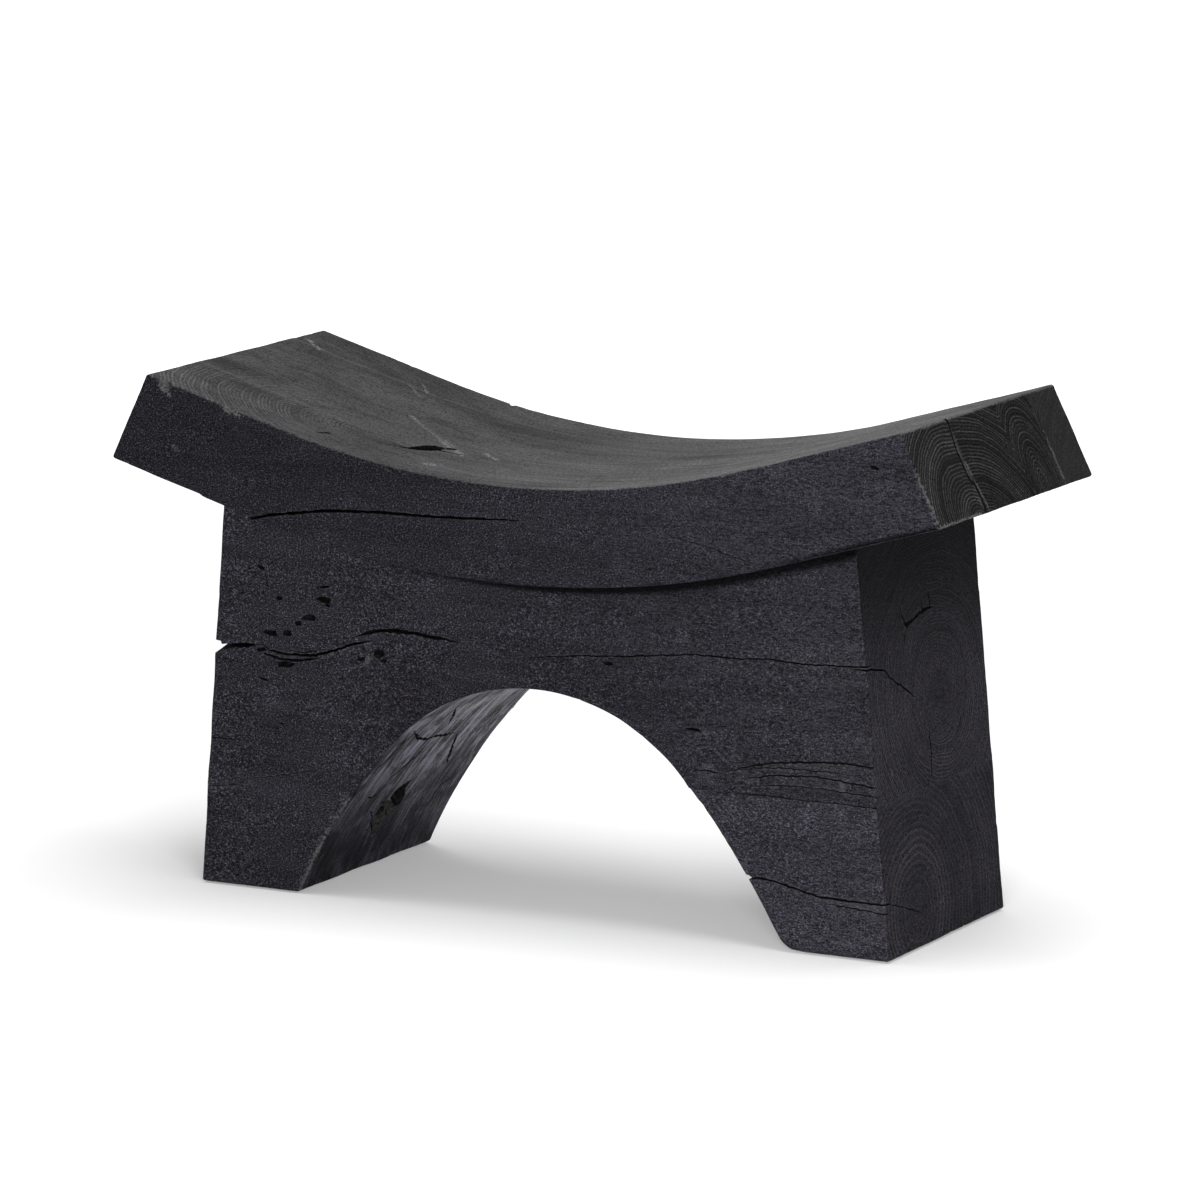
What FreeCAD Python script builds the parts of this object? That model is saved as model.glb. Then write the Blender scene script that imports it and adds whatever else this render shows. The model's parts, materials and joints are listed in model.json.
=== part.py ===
"""Accent stool: a curved seat of three glued staves, bedded on an arched base of one beam and two feet.

Lengths are in millimetres and angles in degrees. +X runs along the seat, +Y to the back and +Z up.
The origin is on the floor, under the middle of the seat.
"""
import FreeCAD, Part
import math
import os
import re
import Sketcher

SIZES = {
    # The seat: one saddle-shaped blank, the same section from front to back.
    "seat_length": 822.0,          # between the lower corners of the end faces
    "seat_depth": 303.0,
    "seat_height": 457.2,          # from the floor to the upper corners of the ends
    "seat_thickness": 86.5,        # square to the sitting surface
    "seat_curve_radius": 824.0,    # of the hollow in the top
    "seat_rise_angle": 16.0,       # slope of the straight wings past the hollow
    "seat_end_angle": 26.2,        # of the end faces, off upright
    "front_stave_width": 87.0,
    "back_stave_width": 56.0,
    # The base: a beam over two feet, with one arch cut through all three.
    "base_length": 685.0,          # on the floor, over both feet
    "base_depth": 231.5,           # at the left end
    "base_end_lean": 4.9,          # of the end faces, off upright, inwards
    "base_shift": 18.0,            # of the base's middle, to the right of the seat's
    "reveal_left": 0.5,            # of the seat's front beyond the base's, at the left end
    "reveal_right": 5.0,           # the same at the right end
    "crown_wood": 91.1,            # between the top of the arch and the seat's underside
    "arch_crown_radius": 194.0,
    "arch_crown_angle": 46.4,      # half the angle that the crown's arc spans
    "arch_leg_radius": 562.0,
    "beam_thickness": 163.1,       # from the joint with the feet to the seat's underside, at the middle
    "glue_line": 0.2,
    "edge_ease": 2.5,              # radius worn on the outer edges
    # Dowels in the seams between the staves.
    "seam_dowel_diameter": 12.0,
    "seam_dowel_length": 60.0,
    "seam_dowel_inner": 120.0,     # distance from the seat's middle to the inner pair
    "seam_dowel_outer": 290.0,
    # Dowels between the seat and the beam.
    "seat_dowel_diameter": 16.0,
    "seat_dowel_length": 70.0,
    "seat_dowel_reach": 190.0,     # from the base's middle, along the seat
    # Dowels between the beam and the feet.
    "foot_dowel_diameter": 16.0,
    "foot_dowel_length": 100.0,
    "foot_dowel_reach": 242.0,     # from the base's middle, along the seat
    "foot_dowel_pitch": 110.0,     # between the two in a foot
    "dowel_clearance": 0.1,        # round every dowel and bolt, on the radius
    "dowel_end_gap": 0.5,          # past each end of a dowel
    # Lag bolts up through the crown of the arch into the seat.
    "bolt_diameter": 12.0,
    "bolt_length": 118.0,          # under the head, tip and all
    "bolt_tip_length": 10.0,
    "bolt_tip_diameter": 2.0,      # at the blunt point
    "bolt_pitch": 120.0,           # between the two, and between the seat dowels
    "bolt_head_width": 19.0,       # across the corners of the hexagon
    "bolt_head_height": 8.0,
    "washer_diameter": 26.0,
    "washer_thickness": 2.5,
    "counterbore_diameter": 27.0,
    "counterbore_depth": 30.0,     # above the crown of the arch
    "plug_length": 17.0,
    # Glides under the feet, each held by one screw.
    "glide_diameter": 30.0,
    "glide_height": 4.0,
    "glide_proud": 1.2,            # stands below the wood
    "glide_inset": 50.0,           # from the foot's outer end on the floor
    "glide_pitch": 160.0,          # between the two under a foot
    "screw_diameter": 3.5,
    "screw_length": 20.0,
    "screw_head_diameter": 7.0,
    "screw_head_height": 2.0,
    "screw_head_sink": 0.6,        # above the glide's underside
}

doc = FreeCAD.newDocument("stool")
sheet = doc.addObject("Spreadsheet::Sheet", "Sizes")
for row, (alias, number) in enumerate(SIZES.items(), start=1):
    sheet.set(f"A{row}", alias.replace("_", " "))
    sheet.set(f"B{row}", str(number))
    sheet.setAlias(f"B{row}", alias)
doc.recompute()

HEXAGON_SIDES = 6

# Formulas for places on the seat, worked out from the sheet. The hollow's arc and the straight wings are
# tangent, and the underside runs one thickness below the top all along.
END_SLANT = "(seat_thickness / cos(seat_end_angle - seat_rise_angle))"
TOP_CORNER_X = f"(seat_length / 2 - {END_SLANT} * sin(seat_end_angle))"
LOW_CORNER_X = "(seat_length / 2)"
LOW_CORNER_Z = f"(seat_height - {END_SLANT} * cos(seat_end_angle))"
TOP_BEND_X = "(seat_curve_radius * sin(seat_rise_angle))"
TOP_BEND_Z = f"(seat_height - ({TOP_CORNER_X} - {TOP_BEND_X}) * tan(seat_rise_angle))"
CURVE_CENTRE_Z = f"({TOP_BEND_Z} + seat_curve_radius * cos(seat_rise_angle))"
UNDER_RADIUS = "(seat_curve_radius + seat_thickness)"
UNDER_BEND_X = f"({UNDER_RADIUS} * sin(seat_rise_angle))"
UNDER_BEND_Z = f"({CURVE_CENTRE_Z} - {UNDER_RADIUS} * cos(seat_rise_angle))"
UNDER_MIDDLE_Z = f"({CURVE_CENTRE_Z} - {UNDER_RADIUS})"

# The bed of the base is the underside again, one glue line lower.
BED_RADIUS = f"({UNDER_RADIUS} + glue_line)"
BED_BEND_X = f"({BED_RADIUS} * sin(seat_rise_angle))"
BED_BEND_Z = f"({CURVE_CENTRE_Z} - {BED_RADIUS} * cos(seat_rise_angle))"
BED_END_Z = f"({BED_BEND_Z} + (seat_length / 2 - {BED_BEND_X}) * tan(seat_rise_angle))"

SEAT_FRONT = "(-seat_depth / 2)"
SEAM_FRONT = "(-seat_depth / 2 + front_stave_width)"
SEAM_BACK = "(seat_depth / 2 - back_stave_width)"
BASE_FRONT = "(-seat_depth / 2 + reveal_left)"
BASE_MIDDLE_Y = f"({BASE_FRONT} + base_depth / 2)"

# The arch and the seam hang from the seat's underside, so they rise with the seat.
SEAM_HEIGHT = f"({UNDER_MIDDLE_Z} - beam_thickness)"
ARCH_HEIGHT = f"({UNDER_MIDDLE_Z} - crown_wood)"
IN_THE_ARCH = f"({ARCH_HEIGHT} / 2)"
CROWN_BEND_X = "(arch_crown_radius * sin(arch_crown_angle))"
CROWN_BEND_Z = f"({ARCH_HEIGHT} - arch_crown_radius * (1 - cos(arch_crown_angle)))"
LEG_CENTRE_X = f"({CROWN_BEND_X} - arch_leg_radius * sin(arch_crown_angle))"
LEG_CENTRE_Z = f"({CROWN_BEND_Z} - arch_leg_radius * cos(arch_crown_angle))"
LEG_FLOOR_X = f"({LEG_CENTRE_X} + sqrt(arch_leg_radius ^ 2 - ({LEG_CENTRE_Z}) ^ 2))"
BELOW_FLOOR = "(-glide_height)"


def formula(text):
    """The text with each size's name led by the sheet's name, as an expression reads it."""
    return re.sub(r"\b(" + "|".join(SIZES) + r")\b", r"Sizes.\1", text)


def value(text):
    """What a formula comes to with the sheet's present numbers."""
    return float(sheet.evalExpression(formula(text)))


def half_base(height):
    """Half of the base's length at a height, as a formula."""
    return f"(base_length / 2 - {height} * tan(base_end_lean))"


def under_height(x):
    """Height of the seat's underside on its arc at x, as a formula."""
    return f"({CURVE_CENTRE_Z} - sqrt(({UNDER_RADIUS}) ^ 2 - ({x}) ^ 2))"


def new_body(label):
    """An empty body with its own label."""
    body = doc.addObject("PartDesign::Body", label)
    body.Label = label
    return body


def new_sketch(body, name, role, offset="0"):
    """A sketch on one of the body's own origin planes, moved off it along the plane's normal."""
    plane = [f for f in body.Origin.OriginFeatures if f.Role == role][0]
    sketch = body.newObject("Sketcher::SketchObject", f"{body.Name}_{name}")
    sketch.AttachmentSupport = [(plane, "")]
    sketch.MapMode = "FlatFace"
    sketch.AttachmentOffset = FreeCAD.Placement(FreeCAD.Vector(0, 0, value(offset)), FreeCAD.Rotation())
    sketch.setExpression("AttachmentOffset.Base.z", formula(offset))
    return sketch


def bind(sketch, constraint, text):
    """Adds a dimension to a sketch and ties it to a formula."""
    number = sketch.addConstraint(constraint)
    sketch.setExpression(f"Constraints[{number}]", formula(text))


def place(sketch, side, end, corner):
    """Ties one point of a sketch to the formulas of its two coordinates."""
    for kind, text, axis in (("DistanceX", corner[0], -2), ("DistanceY", corner[1], -1)):
        if text == "0":
            sketch.addConstraint(Sketcher.Constraint("PointOnObject", side, end, axis))
        else:
            bind(sketch, Sketcher.Constraint(kind, -1, 1, side, end, value(text)), text)


def outline(sketch, corners, arcs):
    """Draws a closed outline through corners, clockwise.

    arcs gives the radius of each side that bows outwards, with a minus sign for one that bows inwards.
    """
    points = [FreeCAD.Vector(value(x), value(y), 0) for x, y in corners]
    starts = []
    for side, start in enumerate(points):
        end = points[(side + 1) % len(points)]
        if side in arcs:
            text = arcs[side].lstrip("-")
            radius = value(text)
            chord = end - start
            across = FreeCAD.Vector(-chord.y, chord.x, 0).normalize()
            bow = radius - math.sqrt(radius ** 2 - (chord.Length / 2) ** 2)
            if arcs[side][0] == "-":
                sketch.addGeometry(Part.Arc(start, (start + end) / 2 - across * bow, end))
                starts.append((1, 2))
            else:
                sketch.addGeometry(Part.Arc(end, (start + end) / 2 + across * bow, start))
                starts.append((2, 1))
        else:
            sketch.addGeometry(Part.LineSegment(start, end))
            starts.append((1, 2))
    for side, (first, last) in enumerate(starts):
        after = (side + 1) % len(points)
        sketch.addConstraint(Sketcher.Constraint("Coincident", side, last, after, starts[after][0]))
    for side, corner in enumerate(corners):
        place(sketch, side, starts[side][0], corner)
    for side, text in arcs.items():
        text = text.lstrip("-")
        bind(sketch, Sketcher.Constraint("Radius", side, value(text)), text)
    return sketch


def circles(sketch, centres, diameter):
    """Draws circles of one diameter at the given places."""
    for number, centre in enumerate(centres):
        at = FreeCAD.Vector(value(centre[0]), value(centre[1]), 0)
        sketch.addGeometry(Part.Circle(at, FreeCAD.Vector(0, 0, 1), value(diameter) / 2))
        place(sketch, number, 3, centre)
        bind(sketch, Sketcher.Constraint("Diameter", number, value(diameter)), diameter)
    return sketch


def pad(body, sketch, length, reverse):
    """Pads a sketch by a length."""
    feature = body.newObject("PartDesign::Pad", f"{body.Name}_pad")
    feature.Profile = sketch
    feature.Length = value(length)
    feature.setExpression("Length", formula(length))
    feature.Reversed = reverse
    doc.recompute()
    return feature


def cut(body, sketch, depth=None, reverse=False):
    """Cuts a sketch into the body, to a depth or right through, and checks that it removed wood."""
    before = body.Shape.Volume
    feature = body.newObject("PartDesign::Pocket", f"{sketch.Name}_cut")
    feature.Profile = sketch
    feature.Reversed = reverse
    if depth:
        feature.Length = value(depth)
        feature.setExpression("Length", formula(depth))
    else:
        feature.Type = "ThroughAll"
    doc.recompute()
    if not body.Shape.Volume < before - 1:
        raise RuntimeError(f"{feature.Name} cuts nothing")
    return feature


def ease(body, wanted):
    """Rounds the outer edges that the test wanted picks by an edge's middle point and direction."""
    names = []
    tip = body.Tip
    for number, edge in enumerate(body.Shape.Edges, start=1):
        middle = edge.valueAt((edge.FirstParameter + edge.LastParameter) / 2)
        along = edge.tangentAt((edge.FirstParameter + edge.LastParameter) / 2)
        if wanted(middle, along):
            names.append(f"Edge{number}")
    feature = body.newObject("PartDesign::Fillet", f"{body.Name}_ease")
    feature.Base = (tip, names)
    feature.Radius = value("edge_ease")
    feature.setExpression("Radius", formula("edge_ease"))
    doc.recompute()


def mirrored_corners(half):
    """A symmetrical outline's corners, clockwise, worked out from the right half's, which run downwards."""
    return half + [(f"(-{x})", z) for x, z in reversed(half)]


def blank_outline(sketch):
    """The seat's section: hollow top, straight wings, slanting ends and an underside that follows the top."""
    right = [(TOP_BEND_X, TOP_BEND_Z), (TOP_CORNER_X, "seat_height"), (LOW_CORNER_X, LOW_CORNER_Z),
             (UNDER_BEND_X, UNDER_BEND_Z)]
    return outline(sketch, mirrored_corners(right), {3: UNDER_RADIUS, 7: "-seat_curve_radius"})


def bed_outline(sketch):
    """What the base loses to the seat: everything above the bed."""
    right = [("seat_length / 2", "(seat_height + seat_thickness)"), ("seat_length / 2", BED_END_Z),
             (BED_BEND_X, BED_BEND_Z)]
    return outline(sketch, mirrored_corners(right), {2: BED_RADIUS})


def arch_outline(sketch):
    """The arch: a round crown that runs on into two flatter legs, and a little below the floor."""
    right = [(CROWN_BEND_X, CROWN_BEND_Z), (LEG_FLOOR_X, "0"), (LEG_FLOOR_X, BELOW_FLOOR)]
    corners = [(f"(base_shift + {x})", z) for x, z in mirrored_corners(right)]
    return outline(sketch, corners, {0: "arch_leg_radius", 4: "arch_leg_radius", 5: "arch_crown_radius"})


def end_of_base(side, height):
    """x of the base's end face at a height; side is 1 for the right end and -1 for the left."""
    return f"(base_shift + ({side}) * {half_base(height)})"


# Places of the fixings, as formulas: (x, y) seen from above, or (x, z) seen from the front.
FIXING_ROWS = [f"({BASE_MIDDLE_Y} - bolt_pitch / 2)", f"({BASE_MIDDLE_Y} + bolt_pitch / 2)"]
BOLT_PLACES = [("base_shift", y) for y in FIXING_ROWS]
SEAT_DOWEL_COLUMNS = ["(base_shift - seat_dowel_reach)", "(base_shift + seat_dowel_reach)"]
HEAD_SEAT_Z = f"({ARCH_HEIGHT} + counterbore_depth)"
HALF_GLUE = "glue_line / 2"


def mid_plane_height(x):
    """Height of the seat's middle surface at x on the arc, as a formula."""
    return f"({CURVE_CENTRE_Z} - sqrt((seat_curve_radius + seat_thickness / 2) ^ 2 - ({x}) ^ 2))"


def wing_plane_height(x):
    """Height of the seat's middle surface at x on the straight wings, as a formula."""
    bend_x = "((seat_curve_radius + seat_thickness / 2) * sin(seat_rise_angle))"
    bend_z = f"({CURVE_CENTRE_Z} - (seat_curve_radius + seat_thickness / 2) * cos(seat_rise_angle))"
    return f"({bend_z} + ({x} - {bend_x}) * tan(seat_rise_angle))"


SEAM_DOWEL_HEIGHTS = {"seam_dowel_inner": mid_plane_height, "seam_dowel_outer": wing_plane_height}
SEAM_DOWEL_PLACES = [(f"({sign}{reach})", height(reach)) for sign in ("-", "")
                     for reach, height in SEAM_DOWEL_HEIGHTS.items()]


def make_stave(label, front, back, seams, front_eased, back_eased, rows):
    """One stave of the seat between two y places. seams holds (y, goes_back) for each face with dowel holes,
    and rows the y places of the bolts and dowels that come up into it from below."""
    body = new_body(label)
    blank = blank_outline(new_sketch(body, "section", "XZ_Plane", f"(-{front})"))
    pad(body, blank, f"({back} - {front})", True)
    hole = "(seam_dowel_diameter + 2 * dowel_clearance)"
    for number, (face, goes_back) in enumerate(seams):
        sketch = new_sketch(body, f"seam_holes_{number}", "XZ_Plane", f"(-{face})")
        depth = f"(seam_dowel_length / 2 + dowel_end_gap - {HALF_GLUE})"
        cut(body, circles(sketch, SEAM_DOWEL_PLACES, hole), depth, not goes_back)
    for number, y in enumerate(rows):
        for side, x in zip(("left", "right"), SEAT_DOWEL_COLUMNS):
            top = f"({under_height(x)} + seat_dowel_length / 2 + dowel_end_gap)"
            drilled = circles(new_sketch(body, f"{side}_dowel_hole_{number}", "XY_Plane", UNDER_MIDDLE_Z),
                              [(x, y)], "(seat_dowel_diameter + 2 * dowel_clearance)")
            cut(body, drilled, f"({top} - {UNDER_MIDDLE_Z})", True)
        drilled = circles(new_sketch(body, f"bolt_hole_{number}", "XY_Plane", UNDER_MIDDLE_Z),
                          [("base_shift", y)], "(bolt_diameter + 2 * dowel_clearance)")
        cut(body, drilled, f"({HEAD_SEAT_Z} + bolt_length + dowel_end_gap - {UNDER_MIDDLE_Z})", True)
    faces = [value(y) for y, eased in ((front, front_eased), (back, back_eased)) if eased]
    corner = value(TOP_CORNER_X)

    def outer(middle, along):
        on_face = any(abs(middle.y - y) < 0.01 for y in faces) and abs(along.y) < 0.01
        on_corner = abs(middle.x) > corner - 1 and abs(along.y) > 0.99
        return on_face or on_corner
    ease(body, outer)
    return body


staves = [
    make_stave("seat_front_stave", SEAT_FRONT, f"({SEAM_FRONT} - {HALF_GLUE})",
               [(f"({SEAM_FRONT} - {HALF_GLUE})", False)], True, False, FIXING_ROWS[:1]),
    make_stave("seat_middle_stave", f"({SEAM_FRONT} + {HALF_GLUE})", f"({SEAM_BACK} - {HALF_GLUE})",
               [(f"({SEAM_FRONT} + {HALF_GLUE})", True), (f"({SEAM_BACK} - {HALF_GLUE})", False)],
               False, False, FIXING_ROWS[1:]),
    make_stave("seat_back_stave", f"({SEAM_BACK} + {HALF_GLUE})", "(seat_depth / 2)",
               [(f"({SEAM_BACK} + {HALF_GLUE})", True)], False, True, []),
]


def base_block(label, sides, low, high):
    """A block of the base between two heights, planed on its ends and front, with its part of the arch."""
    body = new_body(label)
    corners = [(sides[0](low), low), (sides[1](low), low), (sides[1](high), high), (sides[0](high), high)]
    face = outline(new_sketch(body, "face", "XZ_Plane", f"(-{BASE_FRONT})"), corners, {})
    pad(body, face, "base_depth", True)
    far_left, far_right = end_of_base(-1, "0"), end_of_base(1, "0")
    ahead = f"({BASE_FRONT} - edge_ease)"
    slant = [(far_left, BASE_FRONT), (far_left, ahead), (far_right, ahead),
             (far_right, "(-seat_depth / 2 + reveal_right)")]
    planed = outline(new_sketch(body, "planing", "XY_Plane", BELOW_FLOOR), slant, {})
    cut(body, planed, None, True)
    cut(body, arch_outline(new_sketch(body, "arch", "XZ_Plane", "seat_depth")))
    return body


def foot_dowel_places(side):
    """(x, y) of the two dowels over a foot."""
    x = f"(base_shift + ({side}) * foot_dowel_reach)"
    return [(x, f"({BASE_MIDDLE_Y} {way} foot_dowel_pitch / 2)") for way in "-+"]


def glide_places(side):
    """(x, y) of the two glides under a foot, front one first."""
    x = f"(base_shift + ({side}) * (base_length / 2 - glide_inset))"
    return [(x, f"({BASE_MIDDLE_Y} {way} glide_pitch / 2)") for way in "-+"]


def on_outer_edge(middle, along):
    """True for the base's corner edges and the edges of the arch and the floor, which aren't glued."""
    front_y, back_y = value(BASE_FRONT), value(f"({BASE_FRONT} + base_depth)")
    slack = value("reveal_right") + 1
    on_face = middle.y < front_y + slack or middle.y > back_y - 0.01
    glued = abs(middle.z - value(SEAM_HEIGHT)) < 1 or middle.z > value(UNDER_MIDDLE_Z) - 1
    from_middle = abs(middle.x - value("base_shift"))
    end_edge = abs(along.z) > 0.9 and from_middle > value(half_base("seat_height")) - 1
    on_floor = middle.z < value("glide_proud") + 0.01
    outer_floor = on_floor and from_middle > value("base_length / 2") - 1
    arch_floor = on_floor and abs(along.y) > 0.99 and abs(from_middle - value(LEG_FLOOR_X)) < 1
    if glued and not end_edge:
        return False
    return (on_face and abs(along.y) < 0.9) or outer_floor or arch_floor


BEAM_LOW = f"({SEAM_HEIGHT} + {HALF_GLUE})"
FOOT_HIGH = f"({SEAM_HEIGHT} - {HALF_GLUE})"
BEAM_SIDES = [lambda z: end_of_base(-1, z), lambda z: end_of_base(1, z)]
beam = base_block("base_beam", BEAM_SIDES, BEAM_LOW, "seat_height")
cut(beam, bed_outline(new_sketch(beam, "bed", "XZ_Plane", "seat_depth")))
for number, y in enumerate(FIXING_ROWS):
    for side, x in zip(("left", "right"), SEAT_DOWEL_COLUMNS):
        bottom = f"({under_height(x)} - seat_dowel_length / 2 - dowel_end_gap)"
        drilled = circles(new_sketch(beam, f"{side}_dowel_hole_{number}", "XY_Plane", bottom), [(x, y)],
                          "(seat_dowel_diameter + 2 * dowel_clearance)")
        cut(beam, drilled, None, True)
cut(beam, circles(new_sketch(beam, "bolt_holes", "XY_Plane", IN_THE_ARCH), BOLT_PLACES,
                  "(bolt_diameter + 2 * dowel_clearance)"), None, True)
cut(beam, circles(new_sketch(beam, "counterbores", "XY_Plane", IN_THE_ARCH), BOLT_PLACES,
                  "counterbore_diameter"), f"({HEAD_SEAT_Z} - {IN_THE_ARCH})", True)
for number, side in enumerate((-1, 1)):
    drilled = circles(new_sketch(beam, f"foot_dowel_holes_{number}", "XY_Plane", BEAM_LOW),
                      foot_dowel_places(side), "(foot_dowel_diameter + 2 * dowel_clearance)")
    cut(beam, drilled, f"(foot_dowel_length / 2 + dowel_end_gap - {HALF_GLUE})", True)
ease(beam, on_outer_edge)


def make_foot(label, side):
    """A foot under one end of the beam, with dowel holes in its top and seats for the glides under it."""
    sides = [lambda z: "base_shift", lambda z: end_of_base(side, z)]
    body = base_block(label, sides if side > 0 else sides[::-1], "glide_proud", FOOT_HIGH)
    drilled = circles(new_sketch(body, "dowel_holes", "XY_Plane", FOOT_HIGH), foot_dowel_places(side),
                      "(foot_dowel_diameter + 2 * dowel_clearance)")
    cut(body, drilled, f"(foot_dowel_length / 2 + dowel_end_gap - {HALF_GLUE})")
    seats = circles(new_sketch(body, "glide_seats", "XY_Plane", "glide_proud"), glide_places(side),
                    "(glide_diameter + 2 * dowel_clearance)")
    cut(body, seats, "(glide_height - glide_proud)", True)
    pilots = circles(new_sketch(body, "screw_holes", "XY_Plane", "glide_proud"), glide_places(side),
                     "(screw_diameter + 2 * dowel_clearance)")
    cut(body, pilots, "(screw_head_sink + screw_length + dowel_end_gap - glide_proud)", True)
    ease(body, on_outer_edge)
    return body


feet = [make_foot("left_foot_block", -1), make_foot("right_foot_block", 1)]


def bind_place(piece, x, y, z):
    """Ties a piece's place to formulas."""
    for axis, text in zip("xyz", (x, y, z)):
        piece.setExpression(f"Placement.Base.{axis}", formula(text))


def rod(name, diameter, length, x, y, z, lies_back=False):
    """A plain round rod from a place, standing up or lying towards the back."""
    piece = doc.addObject("Part::Cylinder", name)
    piece.setExpression("Radius", formula(f"{diameter} / 2"))
    piece.setExpression("Height", formula(length))
    if lies_back:
        piece.Placement = FreeCAD.Placement(FreeCAD.Vector(), FreeCAD.Rotation(FreeCAD.Vector(1, 0, 0), -90))
    bind_place(piece, x, y, z)
    return piece


def group(label, pieces):
    """Several alike pieces as one sub-part of separate solids."""
    together = doc.addObject("Part::Compound", label)
    together.Label = label
    together.Links = pieces
    return together


def seam_dowels(label, seam):
    """The dowels across one seam of the seat."""
    return group(label, [rod(f"{label}_{number}", "seam_dowel_diameter", "seam_dowel_length", x,
                             f"({seam} - seam_dowel_length / 2)", z, True)
                         for number, (x, z) in enumerate(SEAM_DOWEL_PLACES)])


def foot_dowels(label, side):
    """The dowels between the beam and one foot."""
    return group(label, [rod(f"{label}_{number}", "foot_dowel_diameter", "foot_dowel_length", x, y,
                             f"({SEAM_HEIGHT} - foot_dowel_length / 2)")
                         for number, (x, y) in enumerate(foot_dowel_places(side))])


def seat_dowel(number, side, x, y):
    """One dowel that stands half in the beam and half in the seat."""
    return rod(f"seat_dowel_{number}_{side}", "seat_dowel_diameter", "seat_dowel_length", x, y,
               f"({under_height(x)} - seat_dowel_length / 2)")


seat_dowels = group("seat_dowels", [seat_dowel(number, side, x, y) for number, y in enumerate(FIXING_ROWS)
                                    for side, x in zip(("left", "right"), SEAT_DOWEL_COLUMNS)])


def lag_bolt(number, x, y):
    """A hexagon head below, a shank and a pointed tip that ends inside the seat."""
    head = doc.addObject("Part::Prism", f"bolt_head_{number}")
    head.Polygon = HEXAGON_SIDES
    head.setExpression("Circumradius", formula("bolt_head_width / 2"))
    head.setExpression("Height", formula("bolt_head_height"))
    bind_place(head, x, y, f"({HEAD_SEAT_Z} - washer_thickness - bolt_head_height)")
    shank = rod(f"bolt_shank_{number}", "bolt_diameter", "(bolt_length + washer_thickness - bolt_tip_length)",
                x, y, f"({HEAD_SEAT_Z} - washer_thickness)")
    tip = doc.addObject("Part::Cone", f"bolt_tip_{number}")
    tip.setExpression("Radius1", formula("bolt_diameter / 2"))
    tip.setExpression("Radius2", formula("bolt_tip_diameter / 2"))
    tip.setExpression("Height", formula("bolt_tip_length"))
    bind_place(tip, x, y, f"({HEAD_SEAT_Z} + bolt_length - bolt_tip_length)")
    bolt = doc.addObject("Part::MultiFuse", f"bolt_{number}")
    bolt.Shapes = [head, shank, tip]
    return bolt


def washer(number, x, y):
    """A flat ring between a bolt's head and the ceiling of its counterbore."""
    low = f"({HEAD_SEAT_Z} - washer_thickness)"
    ring = doc.addObject("Part::Cut", f"washer_{number}")
    ring.Base = rod(f"washer_disc_{number}", "washer_diameter", "washer_thickness", x, y, low)
    ring.Tool = rod(f"washer_bore_{number}", "(bolt_diameter + 2 * dowel_clearance)", "washer_thickness",
                    x, y, low)
    return ring


def plug(number, x, y):
    """A wooden plug under the bolt's head, cut off square just inside the arch."""
    high = f"({HEAD_SEAT_Z} - washer_thickness - bolt_head_height - dowel_end_gap)"
    return rod(f"plug_{number}", "(counterbore_diameter - 2 * dowel_clearance)", "plug_length", x, y,
               f"({high} - plug_length)")


def turned(label, corners, x, y):
    """A turned piece: its half section spun about the upright axis at a place."""
    body = new_body(label)
    half = outline(new_sketch(body, "half_section", "XZ_Plane"), corners, {})
    feature = body.newObject("PartDesign::Revolution", f"{label}_turning")
    feature.Profile = half
    feature.ReferenceAxis = (half, ["V_Axis"])
    feature.Angle = 360
    bind_place(body, x, y, "0")
    doc.recompute()
    return body


def glide(label, x, y):
    """A disc with a bevelled rim and a countersunk bore for its screw."""
    bore, rim = "(screw_diameter / 2 + dowel_clearance)", "(glide_diameter / 2)"
    sunk = "(screw_head_diameter / 2 + dowel_clearance)"
    bevel = "(glide_proud / 2)"
    return turned(label, [(sunk, "0"), (f"({rim} - {bevel})", "0"), (rim, bevel), (rim, "glide_height"),
                          (bore, "glide_height"), (bore, "(screw_head_sink + screw_head_height)"),
                          (sunk, "screw_head_sink")], x, y)


def glide_screw(label, x, y):
    """A countersunk screw, head down, with a pointed tip."""
    top = "(screw_head_sink + screw_length)"
    return turned(label, [("0", "screw_head_sink"), ("(screw_head_diameter / 2)", "screw_head_sink"),
                          ("(screw_diameter / 2)", "(screw_head_sink + screw_head_height)"),
                          ("(screw_diameter / 2)", f"({top} - screw_diameter)"), ("0", top)], x, y)


glides = []
screws = []
for end_name, side in (("left", -1), ("right", 1)):
    for row_name, (x, y) in zip(("front", "back"), glide_places(side)):
        glides.append(glide(f"{end_name}_{row_name}_glide", x, y))
        screws.append(glide_screw(f"{end_name}_{row_name}_screw", x, y))

parts = staves + [beam] + feet + glides + [
    seam_dowels("front_seam_dowels", SEAM_FRONT),
    seam_dowels("back_seam_dowels", SEAM_BACK),
    seat_dowels,
    foot_dowels("left_foot_dowels", -1),
    foot_dowels("right_foot_dowels", 1),
    group("seat_bolts", [lag_bolt(number, x, y) for number, (x, y) in enumerate(BOLT_PLACES)]),
    group("bolt_washers", [washer(number, x, y) for number, (x, y) in enumerate(BOLT_PLACES)]),
    group("bolt_plugs", [plug(number, x, y) for number, (x, y) in enumerate(BOLT_PLACES)]),
    group("glide_screws", screws),
]

doc.recompute()
failed = [thing.Name for thing in doc.Objects if "Invalid" in thing.State or "Error" in thing.State]
failed += [part.Label for part in parts
           if part.Shape.isNull() or not part.Shape.isValid() or not part.Shape.Solids]
if failed:
    raise RuntimeError(f"these didn't build: {failed}")
os.makedirs("parts", exist_ok=True)
for part in parts:
    part.Shape.exportStep(f"parts/{part.Label}.step")
    box = part.Shape.BoundBox
    print(f"{part.Label}: {len(part.Shape.Solids)} solid(s), x {box.XMin:.1f} to {box.XMax:.1f},"
          f" y {box.YMin:.1f} to {box.YMax:.1f}, z {box.ZMin:.1f} to {box.ZMax:.1f}")
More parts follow.
